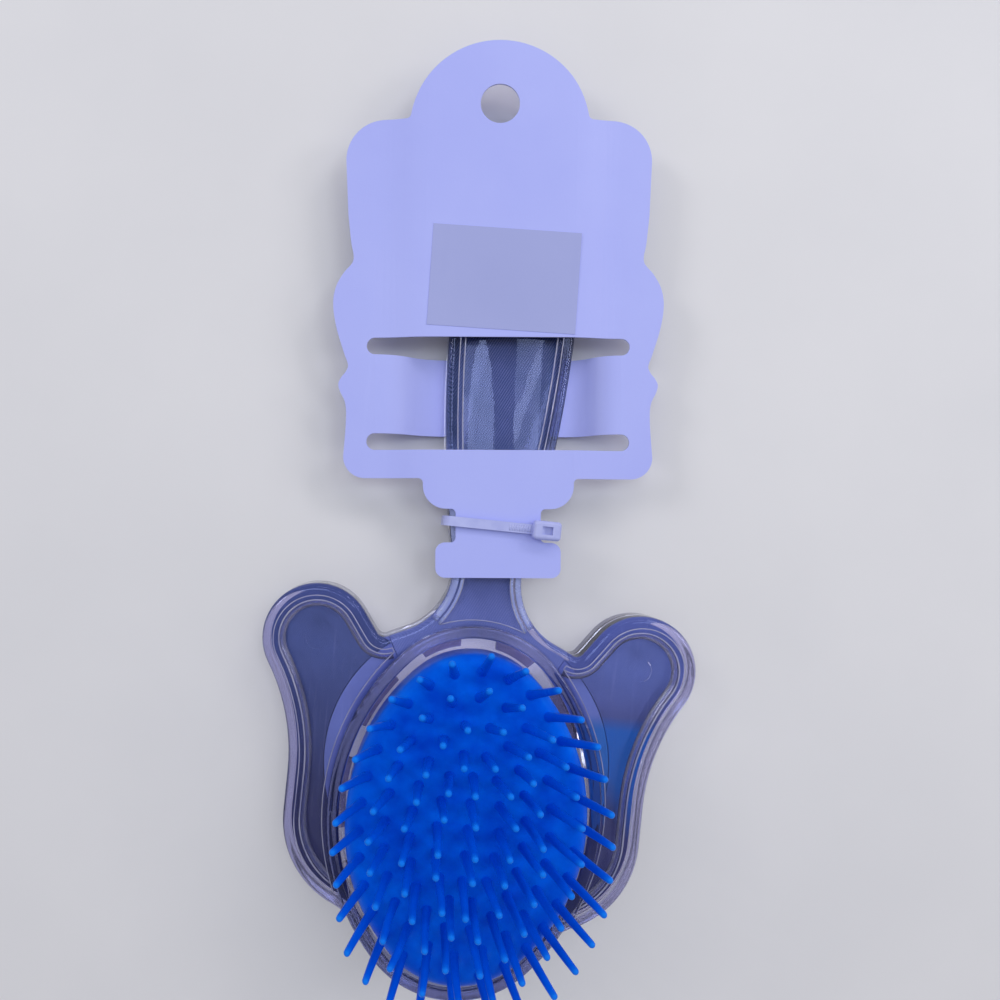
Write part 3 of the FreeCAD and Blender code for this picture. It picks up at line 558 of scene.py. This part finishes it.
def hidden_plastic(name, colour, shade):
    """Plain moulding inside the body."""
    material, tree, shader = new_material(name)
    cloud = use(tree, MOTTLE, {"Color": colour, "Shade": shade, "Scale": 150.0})
    skin = use(tree, GRAIN, {"Scale": 1800.0, "Depth": 0.00006, "Strength": 0.3})
    setup(tree, shader, {"Base Color": cloud["Color"], "Roughness": 0.5, "Normal": skin["Normal"]})
    return material


def paper(name, colour, shade, edge, rough):
    """Coated board or paper: a faint cloud, fine fibres and a paler cut edge."""
    material, tree, shader = new_material(name)
    cloud = use(tree, MOTTLE, {"Color": colour, "Shade": shade, "Scale": 38.0})
    fibres = use(tree, GRAIN, {"Scale": 1500.0, "Depth": 0.00005, "Strength": 0.3})
    lines = use(tree, HAIRLINES, {"Scale": 25.0})
    upward = parts(tree, add(tree, "ShaderNodeNewGeometry").outputs["Normal"])["Z"]
    cut = spread(tree, calc(tree, "ABSOLUTE", upward), 0.5, 0.2)
    values = {
        "Base Color": mix(tree, cut, cloud["Color"], edge),
        "Roughness": between(tree, lines["Mask"], rough, rough - 0.12),
        "Normal": fibres["Normal"],
    }
    setup(tree, shader, values)
    return material


def tie_nylon():
    """Milky nylon."""
    material, tree, shader = new_material("tie_nylon")
    colours = {"Color": rgb(0.45, 0.48, 0.81), "Shade": rgb(0.385, 0.415, 0.755), "Scale": 320.0}
    cloud = use(tree, MOTTLE, colours)
    skin = use(tree, GRAIN, {"Scale": 2200.0, "Depth": 0.00004, "Strength": 0.25})
    values = {
        "Base Color": cloud["Color"],
        "Roughness": between(tree, cloud["Mask"], 0.3, 0.42),
        "Normal": skin["Normal"],
    }
    setup(tree, shader, values)
    return material


def floor_paint():
    """A pale, nearly plain floor."""
    material, tree, shader = new_material("floor_paint")
    colours = {"Color": rgb(0.72, 0.71, 0.72), "Shade": rgb(0.69, 0.682, 0.695), "Scale": 14.0}
    cloud = use(tree, MOTTLE, colours)
    setup(tree, shader, {"Base Color": cloud["Color"], "Roughness": 0.7})
    return material


CLEAR = clear_plastic("clear_plastic", 1.0)
CLEAR_BACK = clear_plastic("clear_back", 0.84)
EDGE = painted_glint_edge()
COVE = panel_cove()
BLOOM = rim_bloom()
RUBBER = cushion_rubber()
PIN = pin_plastic()
NYLON = tie_nylon()
LEFT_FILM = film(
    "left_film", rgb(0.056, 0.086, 0.228), rgb(0.045, 0.071, 0.195),
    change=(rgb(0.022, 0.024, 0.09), 36.0, -6.0),
)
# The right lobe's film carries a painted reflection of the blue cushion
RIGHT_FILM = film(
    "right_film", rgb(0.1, 0.14, 0.355), rgb(0.085, 0.12, 0.315),
    change=(rgb(0.036, 0.038, 0.13), 38.0, 18.0), painted_reflection=rgb(0.0005, 0.105, 0.4), foot=True,
)
PALE_FILM = film("pale_film", rgb(0.15, 0.195, 0.46), rgb(0.13, 0.17, 0.42))
# The right crescent's film carries a painted reflection of the blue cushion
RIGHT_PALE_FILM = film(
    "right_pale_film", rgb(0.13, 0.175, 0.43), rgb(0.115, 0.155, 0.39), painted_reflection=rgb(0.008, 0.125, 0.41),
)
HANDLE_FILM = film(
    "handle_film", rgb(0.138, 0.188, 0.395), rgb(0.121, 0.166, 0.36),
    pitch=HANDLE_FILM_PITCH, contrast=1.0, dust=0.06, change=(rgb(0.028, 0.058, 0.15), 79.0, 91.0),
)
BOARD = paper(
    "board", rgb(0.412, 0.45, 0.89), rgb(0.39, 0.426, 0.875), edge=rgb(0.51, 0.53, 0.83), rough=0.5,
)
LABEL = paper(
    "label_paper", rgb(0.345, 0.375, 0.68), rgb(0.33, 0.36, 0.66), edge=rgb(0.43, 0.45, 0.73), rough=0.42,
)
BASE = hidden_plastic("base_plastic", rgb(0.02, 0.1, 0.5), rgb(0.015, 0.08, 0.42))
BACKING = hidden_plastic("backing_sheet", rgb(0.02, 0.11, 0.52), rgb(0.015, 0.09, 0.44))

FINISH = {
    "back_shell": CLEAR_BACK,
    "front_shell": CLEAR,
    "left_lobe_film": LEFT_FILM,
    "right_lobe_film": RIGHT_FILM,
    "left_crescent_film": PALE_FILM,
    "right_crescent_film": RIGHT_PALE_FILM,
    "handle_film": HANDLE_FILM,
    "card_label": LABEL,
    "cable_tie": NYLON,
    "pad_base": BASE,
    "pin_backing": BACKING,
}
for name, material in FINISH.items():
    for holder in NODES[name].material_slots:
        holder.material = material


# Mesh building


def add_piece(name, form, material, body):
    """A mesh piece that moves with one of the bodies."""
    bmesh.ops.recalc_face_normals(form, faces=form.faces)
    mesh = bpy.data.meshes.new(name)
    form.to_mesh(mesh)
    form.free()
    for face in mesh.polygons:
        face.use_smooth = True
    mesh.materials.append(material)
    piece = bpy.data.objects.new(name, mesh)
    bpy.context.scene.collection.objects.link(piece)
    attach(piece, body)
    return piece


def join_rings(form, first, second):
    """Faces between two closed rings of points."""
    count = len(first)
    for index in range(count):
        after = (index + 1) % count
        form.faces.new((first[index], first[after], second[after], second[index]))


def close_ring(form, ring, spot):
    """Faces from a closed ring to a point in its middle, in millimetres."""
    middle = form.verts.new(Vector(spot) * MM)
    for index in range(len(ring)):
        form.faces.new((ring[index], ring[(index + 1) % len(ring)], middle))


def welded(node_name):
    """The mesh of a solid, with its faces joined."""
    form = bmesh.new()
    form.from_mesh(NODES[node_name].data)
    bmesh.ops.remove_doubles(form, verts=form.verts, dist=SAME_SPOT)
    form.normal_update()
    return form


def is_level(edge, height):
    """Whether an edge lies at a height in metres."""
    return all(abs(vert.co.z - height) < SAME_LEVEL for vert in edge.verts)


# Cushion


def crown_height(x, y):
    """The height of the cushion's large ball."""
    return PAD_TOP - CROWN_RADIUS + math.sqrt(CROWN_RADIUS**2 - x * x - y * y)


def pad_outline(inset):
    """Points on the oval of four arcs, drawn in by an inset."""
    end_y = PAD_HALF_LENGTH - PAD_END_RADIUS
    past = PAD_HALF_WIDTH - PAD_END_RADIUS
    side_radius = (PAD_HALF_WIDTH**2 + end_y**2 - PAD_END_RADIUS**2) / (2 * past)
    side_x = PAD_HALF_WIDTH - side_radius
    turn = math.atan2(end_y, -side_x)
    side_run, end_run = side_radius - inset, PAD_END_RADIUS - inset
    points = []
    for step in range(PAD_STEPS):
        angle = 2 * math.pi * step / PAD_STEPS
        across, up = math.cos(angle), math.sin(angle)
        if abs(math.atan2(up, abs(across))) < turn:
            points.append((math.copysign(1, across) * side_x + side_run * across, side_run * up))
        else:
            points.append((end_run * across, math.copysign(end_y, up) + end_run * up))
    return points


def pin_places():
    """The foot of each pin, ring by ring."""
    rings = []
    for ring in range(PIN_RINGS):
        inset = PIN_EDGE + ring * PIN_PITCH
        half_width, half_length = PAD_HALF_WIDTH - inset, PAD_HALF_LENGTH - inset
        turns = [2 * math.pi * step / RING_STEPS for step in range(RING_STEPS + 1)]
        points = [(half_width * math.cos(turn), half_length * math.sin(turn)) for turn in turns]
        lengths = [0.0]
        for before, after in zip(points, points[1:]):
            lengths.append(lengths[-1] + math.dist(before, after))
        count = 2 * round(lengths[-1] / PIN_SPACING / 2)
        late = 0.5 if ring % 2 == 0 else 0.0
        places = []
        for index in range(count):
            wanted = lengths[-1] * (index + late) / count
            places.append(points[next(i for i, length in enumerate(lengths) if length >= wanted)])
        rings.append(places)
    rings.append([(0.0, MIDDLE_ROW * (2 * index / (MIDDLE_PINS - 1) - 1)) for index in range(MIDDLE_PINS)])
    return rings


PLACES = pin_places()


def surface_lift(x, y):
    """Small collars round the pins, shallow hollows between them and a slow wave over the rubber."""
    near = min(math.dist((x, y), place) for ring in PLACES for place in ring)
    collar = PIN_COLLAR_LIFT * max(0.0, min(1.0, (PIN_COLLAR_REACH - near) / PIN_COLLAR_FADE))
    hollow = HOLLOW_DEPTH * max(0.0, min(1.0, (near - PIN_COLLAR_REACH) / HOLLOW_FADE))
    wave = WAVE_HEIGHT * noise.noise(Vector((x * WAVE_RATE, y * WAVE_RATE, WAVE_SLICE)))
    return collar - hollow + wave


def make_cushion():
    """The crowned rubber skin, hollow below."""
    inner, edge = pad_outline(PAD_SKIN), pad_outline(PAD_EDGE)
    tops = [crown_height(x, y) for x, y in edge]
    rings = []
    for share, drop in UNDERSIDE:
        spots = [(x * share, y * share) for x, y in inner]
        rings.append([(x, y, crown_height(x, y) - PAD_SKIN - drop) for x, y in spots])
    for outline in (inner, pad_outline(0)):
        rings.append([(x, y, PAD_FOOT) for x, y in outline])
    for step in range(PAD_EDGE_STEPS + 1):
        angle = math.pi / 2 * step / PAD_EDGE_STEPS
        fall = PAD_EDGE * (1 - math.sin(angle))
        outline = pad_outline(PAD_EDGE * (1 - math.cos(angle)))
        rings.append([(x, y, top - fall) for (x, y), top in zip(outline, tops)])
    for row in range(1, PAD_ROWS):
        share = 1 - row / PAD_ROWS
        begun = min(1.0, row / LIFT_ROWS)
        spots = [(x * share, y * share) for x, y in edge]
        rings.append([(x, y, crown_height(x, y) + begun * surface_lift(x, y)) for x, y in spots])
    form = bmesh.new()
    made = [[form.verts.new(Vector(spot) * MM) for spot in ring] for ring in rings]
    for first, second in zip(made, made[1:]):
        join_rings(form, first, second)
    close_ring(form, made[0], (0, 0, PAD_TOP - PAD_SKIN - UNDERSIDE[0][1]))
    close_ring(form, made[-1], (0, 0, PAD_TOP + surface_lift(0, 0)))
    piece = add_piece("rubber_cushion", form, RUBBER, "cushion")
    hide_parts("pad_cushion")


# Pins


def pin_way(x, y):
    """The direction of a pin: it leans out more towards the edge."""
    share = math.hypot(x / PAD_HALF_WIDTH, y / PAD_HALF_LENGTH)
    lean = PIN_SPLAY * share**PIN_SPLAY_POWER
    out = Vector((x / PAD_HALF_WIDTH**2, y / PAD_HALF_LENGTH**2, 0))
    if out.length:
        out.normalize()
    return out * math.sin(lean) + Vector((0, 0, math.cos(lean)))


def pin_rows(length):
    """Heights and radii up a pin: root, a small flare, the taper and the round tip."""
    rows = [(-PIN_SUNK, PIN_ROOT)] + [(height, PIN_ROOT * share) for height, share in PIN_FLARE]
    start, shoulder = rows[-1][0], length - PIN_TIP
    for step in range(1, PIN_TAPER_STEPS + 1):
        share = step / PIN_TAPER_STEPS
        rows.append((start + (shoulder - start) * share, PIN_ROOT + (PIN_TIP - PIN_ROOT) * share))
    for step in range(1, PIN_TIP_STEPS):
        angle = math.pi / 2 * step / PIN_TIP_STEPS
        rows.append((shoulder + PIN_TIP * math.sin(angle), PIN_TIP * math.cos(angle)))
    return rows


def add_pin(form, layer, x, y, chance):
    """One pin, moulded slightly unevenly: a small extra lean, a small bend and its own length."""
    tilt = Vector((chance.gauss(0, PIN_TILT), chance.gauss(0, PIN_TILT), 0))
    way = (pin_way(x, y) + tilt).normalized()
    turn = Vector((0, 0, 1)).rotation_difference(way).to_matrix()
    bend = Vector((chance.gauss(0, PIN_BEND), chance.gauss(0, PIN_BEND), 0))
    length = PIN_LENGTH * chance.uniform(*PIN_LENGTH_SHARES)
    foot = Vector((x, y, crown_height(x, y)))
    rings = []
    for height, radius in pin_rows(length):
        share = max(0.0, height / length)
        centre = Vector((0, 0, height)) + bend * share**2
        ring = []
        for side in range(PIN_SIDES):
            angle = 2 * math.pi * side / PIN_SIDES
            spot = centre + Vector((math.cos(angle), math.sin(angle), 0)) * radius
            ring.append(form.verts.new((foot + turn @ spot) * MM))
        rings.append((share, ring))
    for (low_share, low), (high_share, high) in zip(rings, rings[1:]):
        for side in range(PIN_SIDES):
            after = (side + 1) % PIN_SIDES
            face = form.faces.new((low[side], low[after], high[after], high[side]))
            shares = (low_share, low_share, high_share, high_share)
            for loop, share, turned in zip(face.loops, shares, (side, side + 1, side + 1, side)):
                loop[layer].uv = (turned / PIN_SIDES, share)
    tip = form.verts.new((foot + turn @ (Vector((0, 0, length)) + bend)) * MM)
    ring = rings[-1][1]
    for side in range(PIN_SIDES):
        face = form.faces.new((ring[side], ring[(side + 1) % PIN_SIDES], tip))
        for loop in face.loops:
            loop[layer].uv = (side / PIN_SIDES, 1.0)
    form.faces.new(list(reversed(rings[0][1])))


def make_pins():
    """The pins, ring by ring."""
    chance = random.Random(PIN_SEED)
    names = [f"pin_ring_{ring + 1}" for ring in range(PIN_RINGS)] + ["pin_middle_row"]
    for node_name, ring in zip(names, PLACES):
        form = bmesh.new()
        layer = form.loops.layers.uv.new("along")
        for x, y in ring:
            add_pin(form, layer, x, y, chance)
        piece = add_piece(node_name.replace("pin_", "moulded_"), form, PIN, "cushion")
        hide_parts(node_name)


# Hang card


def card_side(height):
    """How far the card's side reaches past its half width, on a smooth line through its scallops."""
    last = len(CARD_SIDE) - 1
    index = max(step for step in range(last) if CARD_SIDE[step][0] <= height)
    slopes = []
    for middle in (index, index + 1):
        before, after = CARD_SIDE[max(middle - 1, 0)], CARD_SIDE[min(middle + 1, last)]
        slopes.append((after[1] - before[1]) / (after[0] - before[0]))
    (start, first), (end, second) = CARD_SIDE[index], CARD_SIDE[index + 1]
    run, share = end - start, (height - start) / (end - start)
    curve = first * (1 + 2 * share) * (1 - share) ** 2 + second * share**2 * (3 - 2 * share)
    return curve + run * share * (1 - share) * (slopes[0] * (1 - share) - slopes[1] * share)


def on_card(spot):
    """A place in the card's own frame, in millimetres."""
    return Matrix.Rotation(-CARD_LEAN, 2) @ (spot.xy / MM - CARD_TIED_AT) + CARD_NECK


def off_card(place):
    """A place in the card's own frame, taken back to the brush's frame, in metres."""
    return (Matrix.Rotation(CARD_LEAN, 2) @ (place - CARD_NECK) + CARD_TIED_AT) * MM


def is_upright(face):
    """Whether a face is a wall."""
    return abs(face.normal.z) < UPRIGHT


def split_level(edge, count):
    """Divides a level edge evenly, from the card's foot upwards."""
    here = min(edge.verts, key=lambda vert: on_card(vert.co).y)
    made = []
    for step in range(count - 1):
        here = bmesh.utils.edge_split(edge, here, 1 / (count - step))[1]
        made.append(here)
    return made


def make_card():
    """The hang card, with the soft scallops of its sides cut to shape."""
    lowest, highest = CARD_SIDE[0][0], CARD_SIDE[-1][0]
    form = welded("hang_card")
    bmesh.ops.dissolve_limit(form, angle_limit=CARD_FLATNESS, verts=form.verts, edges=form.edges)
    form.normal_update()
    walls = []
    for face in form.faces:
        place = on_card(face.calc_center_median())
        at_side = lowest - CARD_WALL_BELOW < place.y < highest + CARD_WALL_ABOVE
        if is_upright(face) and abs(place.x) > CARD_SIDE_FROM and at_side:
            walls.append(face)
    for wall in walls:
        level = [edge for edge in wall.edges if abs(edge.verts[0].co.z - edge.verts[1].co.z) < SAME_SPOT]
        count = math.ceil(level[0].calc_length() / (CARD_SIDE_STEP * MM))
        for first, second in zip(*(split_level(edge, count) for edge in level)):
            shared = next(face for face in first.link_faces if second in face.verts)
            bmesh.utils.face_split(shared, first, second)
    for vert in form.verts:
        place = on_card(vert.co)
        at_side = abs(place.x) > CARD_SIDE_FROM and lowest <= place.y <= highest
        if at_side and any(is_upright(face) for face in vert.link_faces):
            place.x = math.copysign(CARD_HALF_WIDTH + card_side(place.y), place.x)
            vert.co.xy = off_card(place)
    piece = add_piece("scalloped_card", form, BOARD, "brush")
    piece.data.set_sharp_from_angle(angle=CARD_SHARPNESS)
    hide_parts("hang_card")


# Tie


def make_tie_teeth():
    """The fine teeth on the strap beside the tie's head."""
    low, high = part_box("cable_tie")
    middle_y = (low.y + high.y) / 2
    start = high.x - (TIE_HEAD_LENGTH + TOOTH_START) * MM
    form = bmesh.new()
    for index in range(TOOTH_COUNT):
        x = start - TOOTH_PITCH * MM * index
        corners = []
        for along, lift in TOOTH_PROFILE:
            half_width = TOOTH_HALF_WIDTH * (TOOTH_TOP_SHARE if lift > 0 else 1.0)
            for side in (-half_width, half_width):
                spot = (x + along * MM, middle_y + side * MM, (TIE_STRAP_TOP + lift) * MM)
                corners.append(form.verts.new(spot))
        for first in range(0, 6, 2):
            form.faces.new((corners[first], corners[first + 1], corners[first + 3], corners[first + 2]))
        form.faces.new((corners[0], corners[2], corners[4], corners[6]))
        form.faces.new((corners[7], corners[5], corners[3], corners[1]))
    add_piece("tie_teeth", form, NYLON, "brush")


# Trim of the clear front


def edge_chains(node_name, height):
    """The level chains of outward edges of a solid at a height. Each has its points, with the direction out
    of the solid there, and says whether it is closed."""
    form = welded(node_name)
    joined = {}
    for edge in form.edges:
        outward = len(edge.link_faces) == 2 and edge.is_convex and edge.calc_face_angle() > EDGE_ANGLE
        if outward and is_level(edge, height * MM):
            out = edge.link_faces[0].normal + edge.link_faces[1].normal
            first, second = edge.verts
            joined.setdefault(first.index, []).append((second.index, out))
            joined.setdefault(second.index, []).append((first.index, out))
    spots = {vert.index: vert.co.copy() for vert in form.verts if vert.index in joined}
    form.free()
    chains = []
    left = set(joined)
    while left:
        start = here = min(left, key=lambda index: (len(joined[index]), index))
        chain = []
        while here in left:
            left.discard(here)
            out = sum((way for _, way in joined[here]), Vector()).normalized()
            chain.append((spots[here], out))
            last = here
            here = next((other for other, _ in joined[here] if other in left), None)
        closed = len(chain) > 2 and start in [other for other, _ in joined[last]]
        if len(chain) > CHAIN_POINTS:
            chains.append((chain, closed))
    return chains


def is_lobe(chain):
    """Whether a chain runs round a side lobe."""
    return max(abs(spot.x) for spot, _ in chain) > LOBE_FROM * MM


def level_way(out):
    """The level part of a direction."""
    return Vector((out.x, out.y, 0)).normalized()


def sweep(form, chain, closed, profile):
    """A closed profile carried along a chain, with flat ends where the chain is open."""
    rings = []
    count = len(chain)
    for index, (spot, out) in enumerate(chain):
        after = chain[(index + 1) % count if closed else min(index + 1, count - 1)][0]
        before = chain[index - 1 if closed else max(index - 1, 0)][0]
        rings.append([form.verts.new(spot + point) for point in profile((after - before).normalized(), out)])
    for index in range(count if closed else count - 1):
        join_rings(form, rings[index], rings[(index + 1) % count])
    if not closed:
        form.faces.new(rings[0])
        form.faces.new(rings[-1])


def bead_profile(radius):
    """A round bead, half sunk in the edge that it follows."""

    def bead(along, out):
        across = along.cross(out).normalized()
        turns = [2 * math.pi * side / BEAD_SIDES for side in range(BEAD_SIDES)]
        return [(out * (math.cos(turn) - BEAD_SINK) + across * math.sin(turn)) * radius * MM for turn in turns]

    return bead


def make_edge_beads():
    """The rounded inner edges of the rim and of the step round the sunk panels, pale as painted glints."""
    form = bmesh.new()
    for height, radius in ((RIM_TOP, RIM_BEAD), (STEP_TOP, STEP_BEAD)):
        for chain, closed in edge_chains("front_shell", height):
            sweep(form, chain, closed, bead_profile(radius))
    add_piece("panel_edges", form, EDGE, "brush")


def cove_profile(along, out):
    """A hollow round against the wall below the step, down to the panel."""
    inward = level_way(out)
    foot = STEP_TOP - PANEL_TOP - COVE_CLEARANCE
    height = STEP_TOP - PANEL_TOP - COVE_BELOW_EDGE
    points = [inward * COVE_CLEARANCE - Vector((0, 0, foot))]
    for step in range(COVE_STEPS + 1):
        turn = math.pi / 2 * step / COVE_STEPS
        away, lift = COVE_RUN * (1 - math.cos(turn)), height * (1 - math.sin(turn))
        points.append(inward * (COVE_CLEARANCE + away) - Vector((0, 0, foot - lift)))
    return [point * MM for point in points]


def make_coves():
    """The hollow round between the foot of each lobe panel's wall and the panel."""
    form = bmesh.new()
    for chain, closed in edge_chains("front_shell", STEP_TOP):
        if is_lobe(chain):
            sweep(form, chain, closed, cove_profile)
    add_piece("panel_coves", form, COVE, "brush")


def band_profile(near, far):
    """A thin band on the rim, from one distance from its inner edge to another, over the flat and the round."""

    def band(along, out):
        outward = -level_way(out)
        upper, lower = [], []
        for step in range(NECK_BAND_STEPS + 1):
            reach = near + (far - near) * step / NECK_BAND_STEPS
            past = max(0.0, reach - RIM_FLAT)
            fall = RIM_ROUND - math.sqrt(RIM_ROUND**2 - past**2)
            upper.append((outward * reach + Vector((0, 0, NECK_BAND_ABOVE - fall))) * MM)
            lower.append((outward * reach - Vector((0, 0, NECK_BAND_BELOW + fall))) * MM)
        return upper + lower[::-1]

    return band


def neck_side(chain, side):
    """The points of the rim's inner edge along one side of the neck, from the collar upwards."""
    points = []
    for spot, out in chain:
        beside = NECK_FOOT * MM < spot.y < NECK_TOP * MM and spot.x * side > 0
        if beside and out.x * side < -abs(out.y):
            points.append((spot, out))
    points.sort(key=lambda place: place[0].y)
    (lowest, out), (second, _) = points[:2]
    end = lowest + (lowest - second).normalized() * NECK_END_RUN * MM
    return [(end, out)] + points


def make_neck_rims():
    """Pale bands on the rim on both sides of the neck, a painted glow: a line at the inner edge and a broader
    band over the outer round. Both run down to the collar."""
    form = bmesh.new()
    for chain, _ in edge_chains("front_shell", RIM_TOP):
        if is_lobe(chain):
            continue
        for side in (-1, 1):
            for near, far in NECK_BANDS:
                sweep(form, neck_side(chain, side), False, band_profile(near, far))
    add_piece("neck_rim_faces", form, BLOOM, "brush")


# Margins of the films


def outer_loop(node_name):
    """The level outline of a flat film, point by point, at its underside."""
    form = welded(node_name)
    foot = min(vert.co.z for vert in form.verts)
    joined = {}
    for edge in form.edges:
        if is_level(edge, foot) and any(is_upright(face) for face in edge.link_faces):
            first, second = edge.verts
            joined.setdefault(first.index, []).append(second.index)
            joined.setdefault(second.index, []).append(first.index)
    spots = {vert.index: vert.co.copy() for vert in form.verts}
    form.free()
    here = min(joined)
    walked = [here]
    while True:
        here = next((other for other in joined[here] if other not in walked), None)
        if here is None:
            return [spots[index] for index in walked]
        walked.append(here)


def make_margins():
    """Thin margins of the films, under the line where a crescent meets its lobe."""
    for side, material in (("left", LEFT_FILM), ("right", RIGHT_FILM)):
        loop = outer_loop(side + "_crescent_film")
        count = len(loop)
        area = sum(loop[i - 1].x * loop[i].y - loop[i].x * loop[i - 1].y for i in range(count))
        form = bmesh.new()
        levels = ([], [])
        for index, spot in enumerate(loop):
            along = (loop[(index + 1) % count] - loop[index - 1]).normalized()
            out = Vector((along.y, -along.x, 0)) * math.copysign(MARGIN_GROWTH * MM, area)
            for level, height in zip(levels, MARGIN_LEVELS):
                level.append(form.verts.new((spot.x + out.x, spot.y + out.y, height * MM)))
        for level in levels:
            form.faces.new(level)
        join_rings(form, *levels)
        add_piece(side + "_film_margin", form, material, "brush")


make_cushion()
make_pins()
make_card()
make_tie_teeth()
make_edge_beads()
make_coves()
make_neck_rims()
make_margins()


# Floor, light and camera


def make_floor():
    """A plain level floor just under the brush."""
    form = bmesh.new()
    bmesh.ops.create_grid(form, x_segments=2, y_segments=2, size=FLOOR_HALF)
    mesh = bpy.data.meshes.new("floor")
    form.to_mesh(mesh)
    form.free()
    mesh.materials.append(floor_paint())
    floor = bpy.data.objects.new("floor", mesh)
    floor.location = (0, 0, FLOOR_LEVEL)
    bpy.context.scene.collection.objects.link(floor)


def make_lamp(name, spot, aim, size, power, colour=NEUTRAL_LIGHT, shape="RECTANGLE"):
    """A soft flat lamp."""
    lamp = bpy.data.lights.new(name, "AREA")
    lamp.shape = shape
    lamp.size, lamp.size_y = size
    lamp.energy = power
    lamp.color = colour
    holder = bpy.data.objects.new(name, lamp)
    holder.location = spot
    holder.rotation_mode = "QUATERNION"
    holder.rotation_quaternion = (Vector(aim) - Vector(spot)).to_track_quat("-Z", "Y")
    bpy.context.scene.collection.objects.link(holder)


def make_room():
    """Even light from all round."""
    world = bpy.data.worlds.new("soft_room")
    world.use_nodes = True
    backdrop = world.node_tree.nodes["Background"]
    backdrop.inputs["Color"].default_value = rgb(0.95, 0.95, 1.0)
    backdrop.inputs["Strength"].default_value = ROOM_STRENGTH
    bpy.context.scene.world = world


def make_camera():
    """The camera, close above the handle and looking straight down."""
    eye = bpy.data.cameras.new("camera")
    eye.sensor_width = 36.0
    eye.lens = 25.99
    eye.shift_x = 0.105
    eye.shift_y = 0.02
    eye.clip_start = CAMERA_NEAR
    camera = bpy.data.objects.new("camera", eye)
    camera.location = CAMERA_SPOT
    camera.rotation_euler = (0, 0, CAMERA_TURN)
    bpy.context.scene.collection.objects.link(camera)
    bpy.context.scene.camera = camera


make_floor()
make_lamp("left_lamp", (-0.72, 0.40, 0.50), (0, 0.06, 0), (0.24, 0.24), 1.55)
make_lamp("right_lamp", (0.74, 0.32, 0.46), (0, 0.06, 0), (0.24, 0.24), 1.0)
make_lamp("far_lamp", (0.05, 0.80, 0.55), (0, 0.06, 0), (0.5, 0.16), 0.75)
make_lamp("glint_lamp", (0.46, 0.62, 0.5), (0, 0.05, 0), (0.3, 0.16), 1.1)
make_lamp("left_panel", (-0.12, 0.19, 0.8), (-0.02, 0.12, 0), (0.2, 0.4), 0.85, COOL_LIGHT, "ELLIPSE")
make_lamp("right_panel", (0.36, 0.28, 0.8), (0, 0.1, 0), (0.3, 0.28), 0.6, COOL_LIGHT)
make_lamp("streak_panel", (0.345, 0.27, 0.79), (0, 0.1, 0), (0.05, 0.26), 0.11, STREAK_LIGHT)
make_room()
make_camera()
bpy.context.scene.view_settings.view_transform = "Standard"
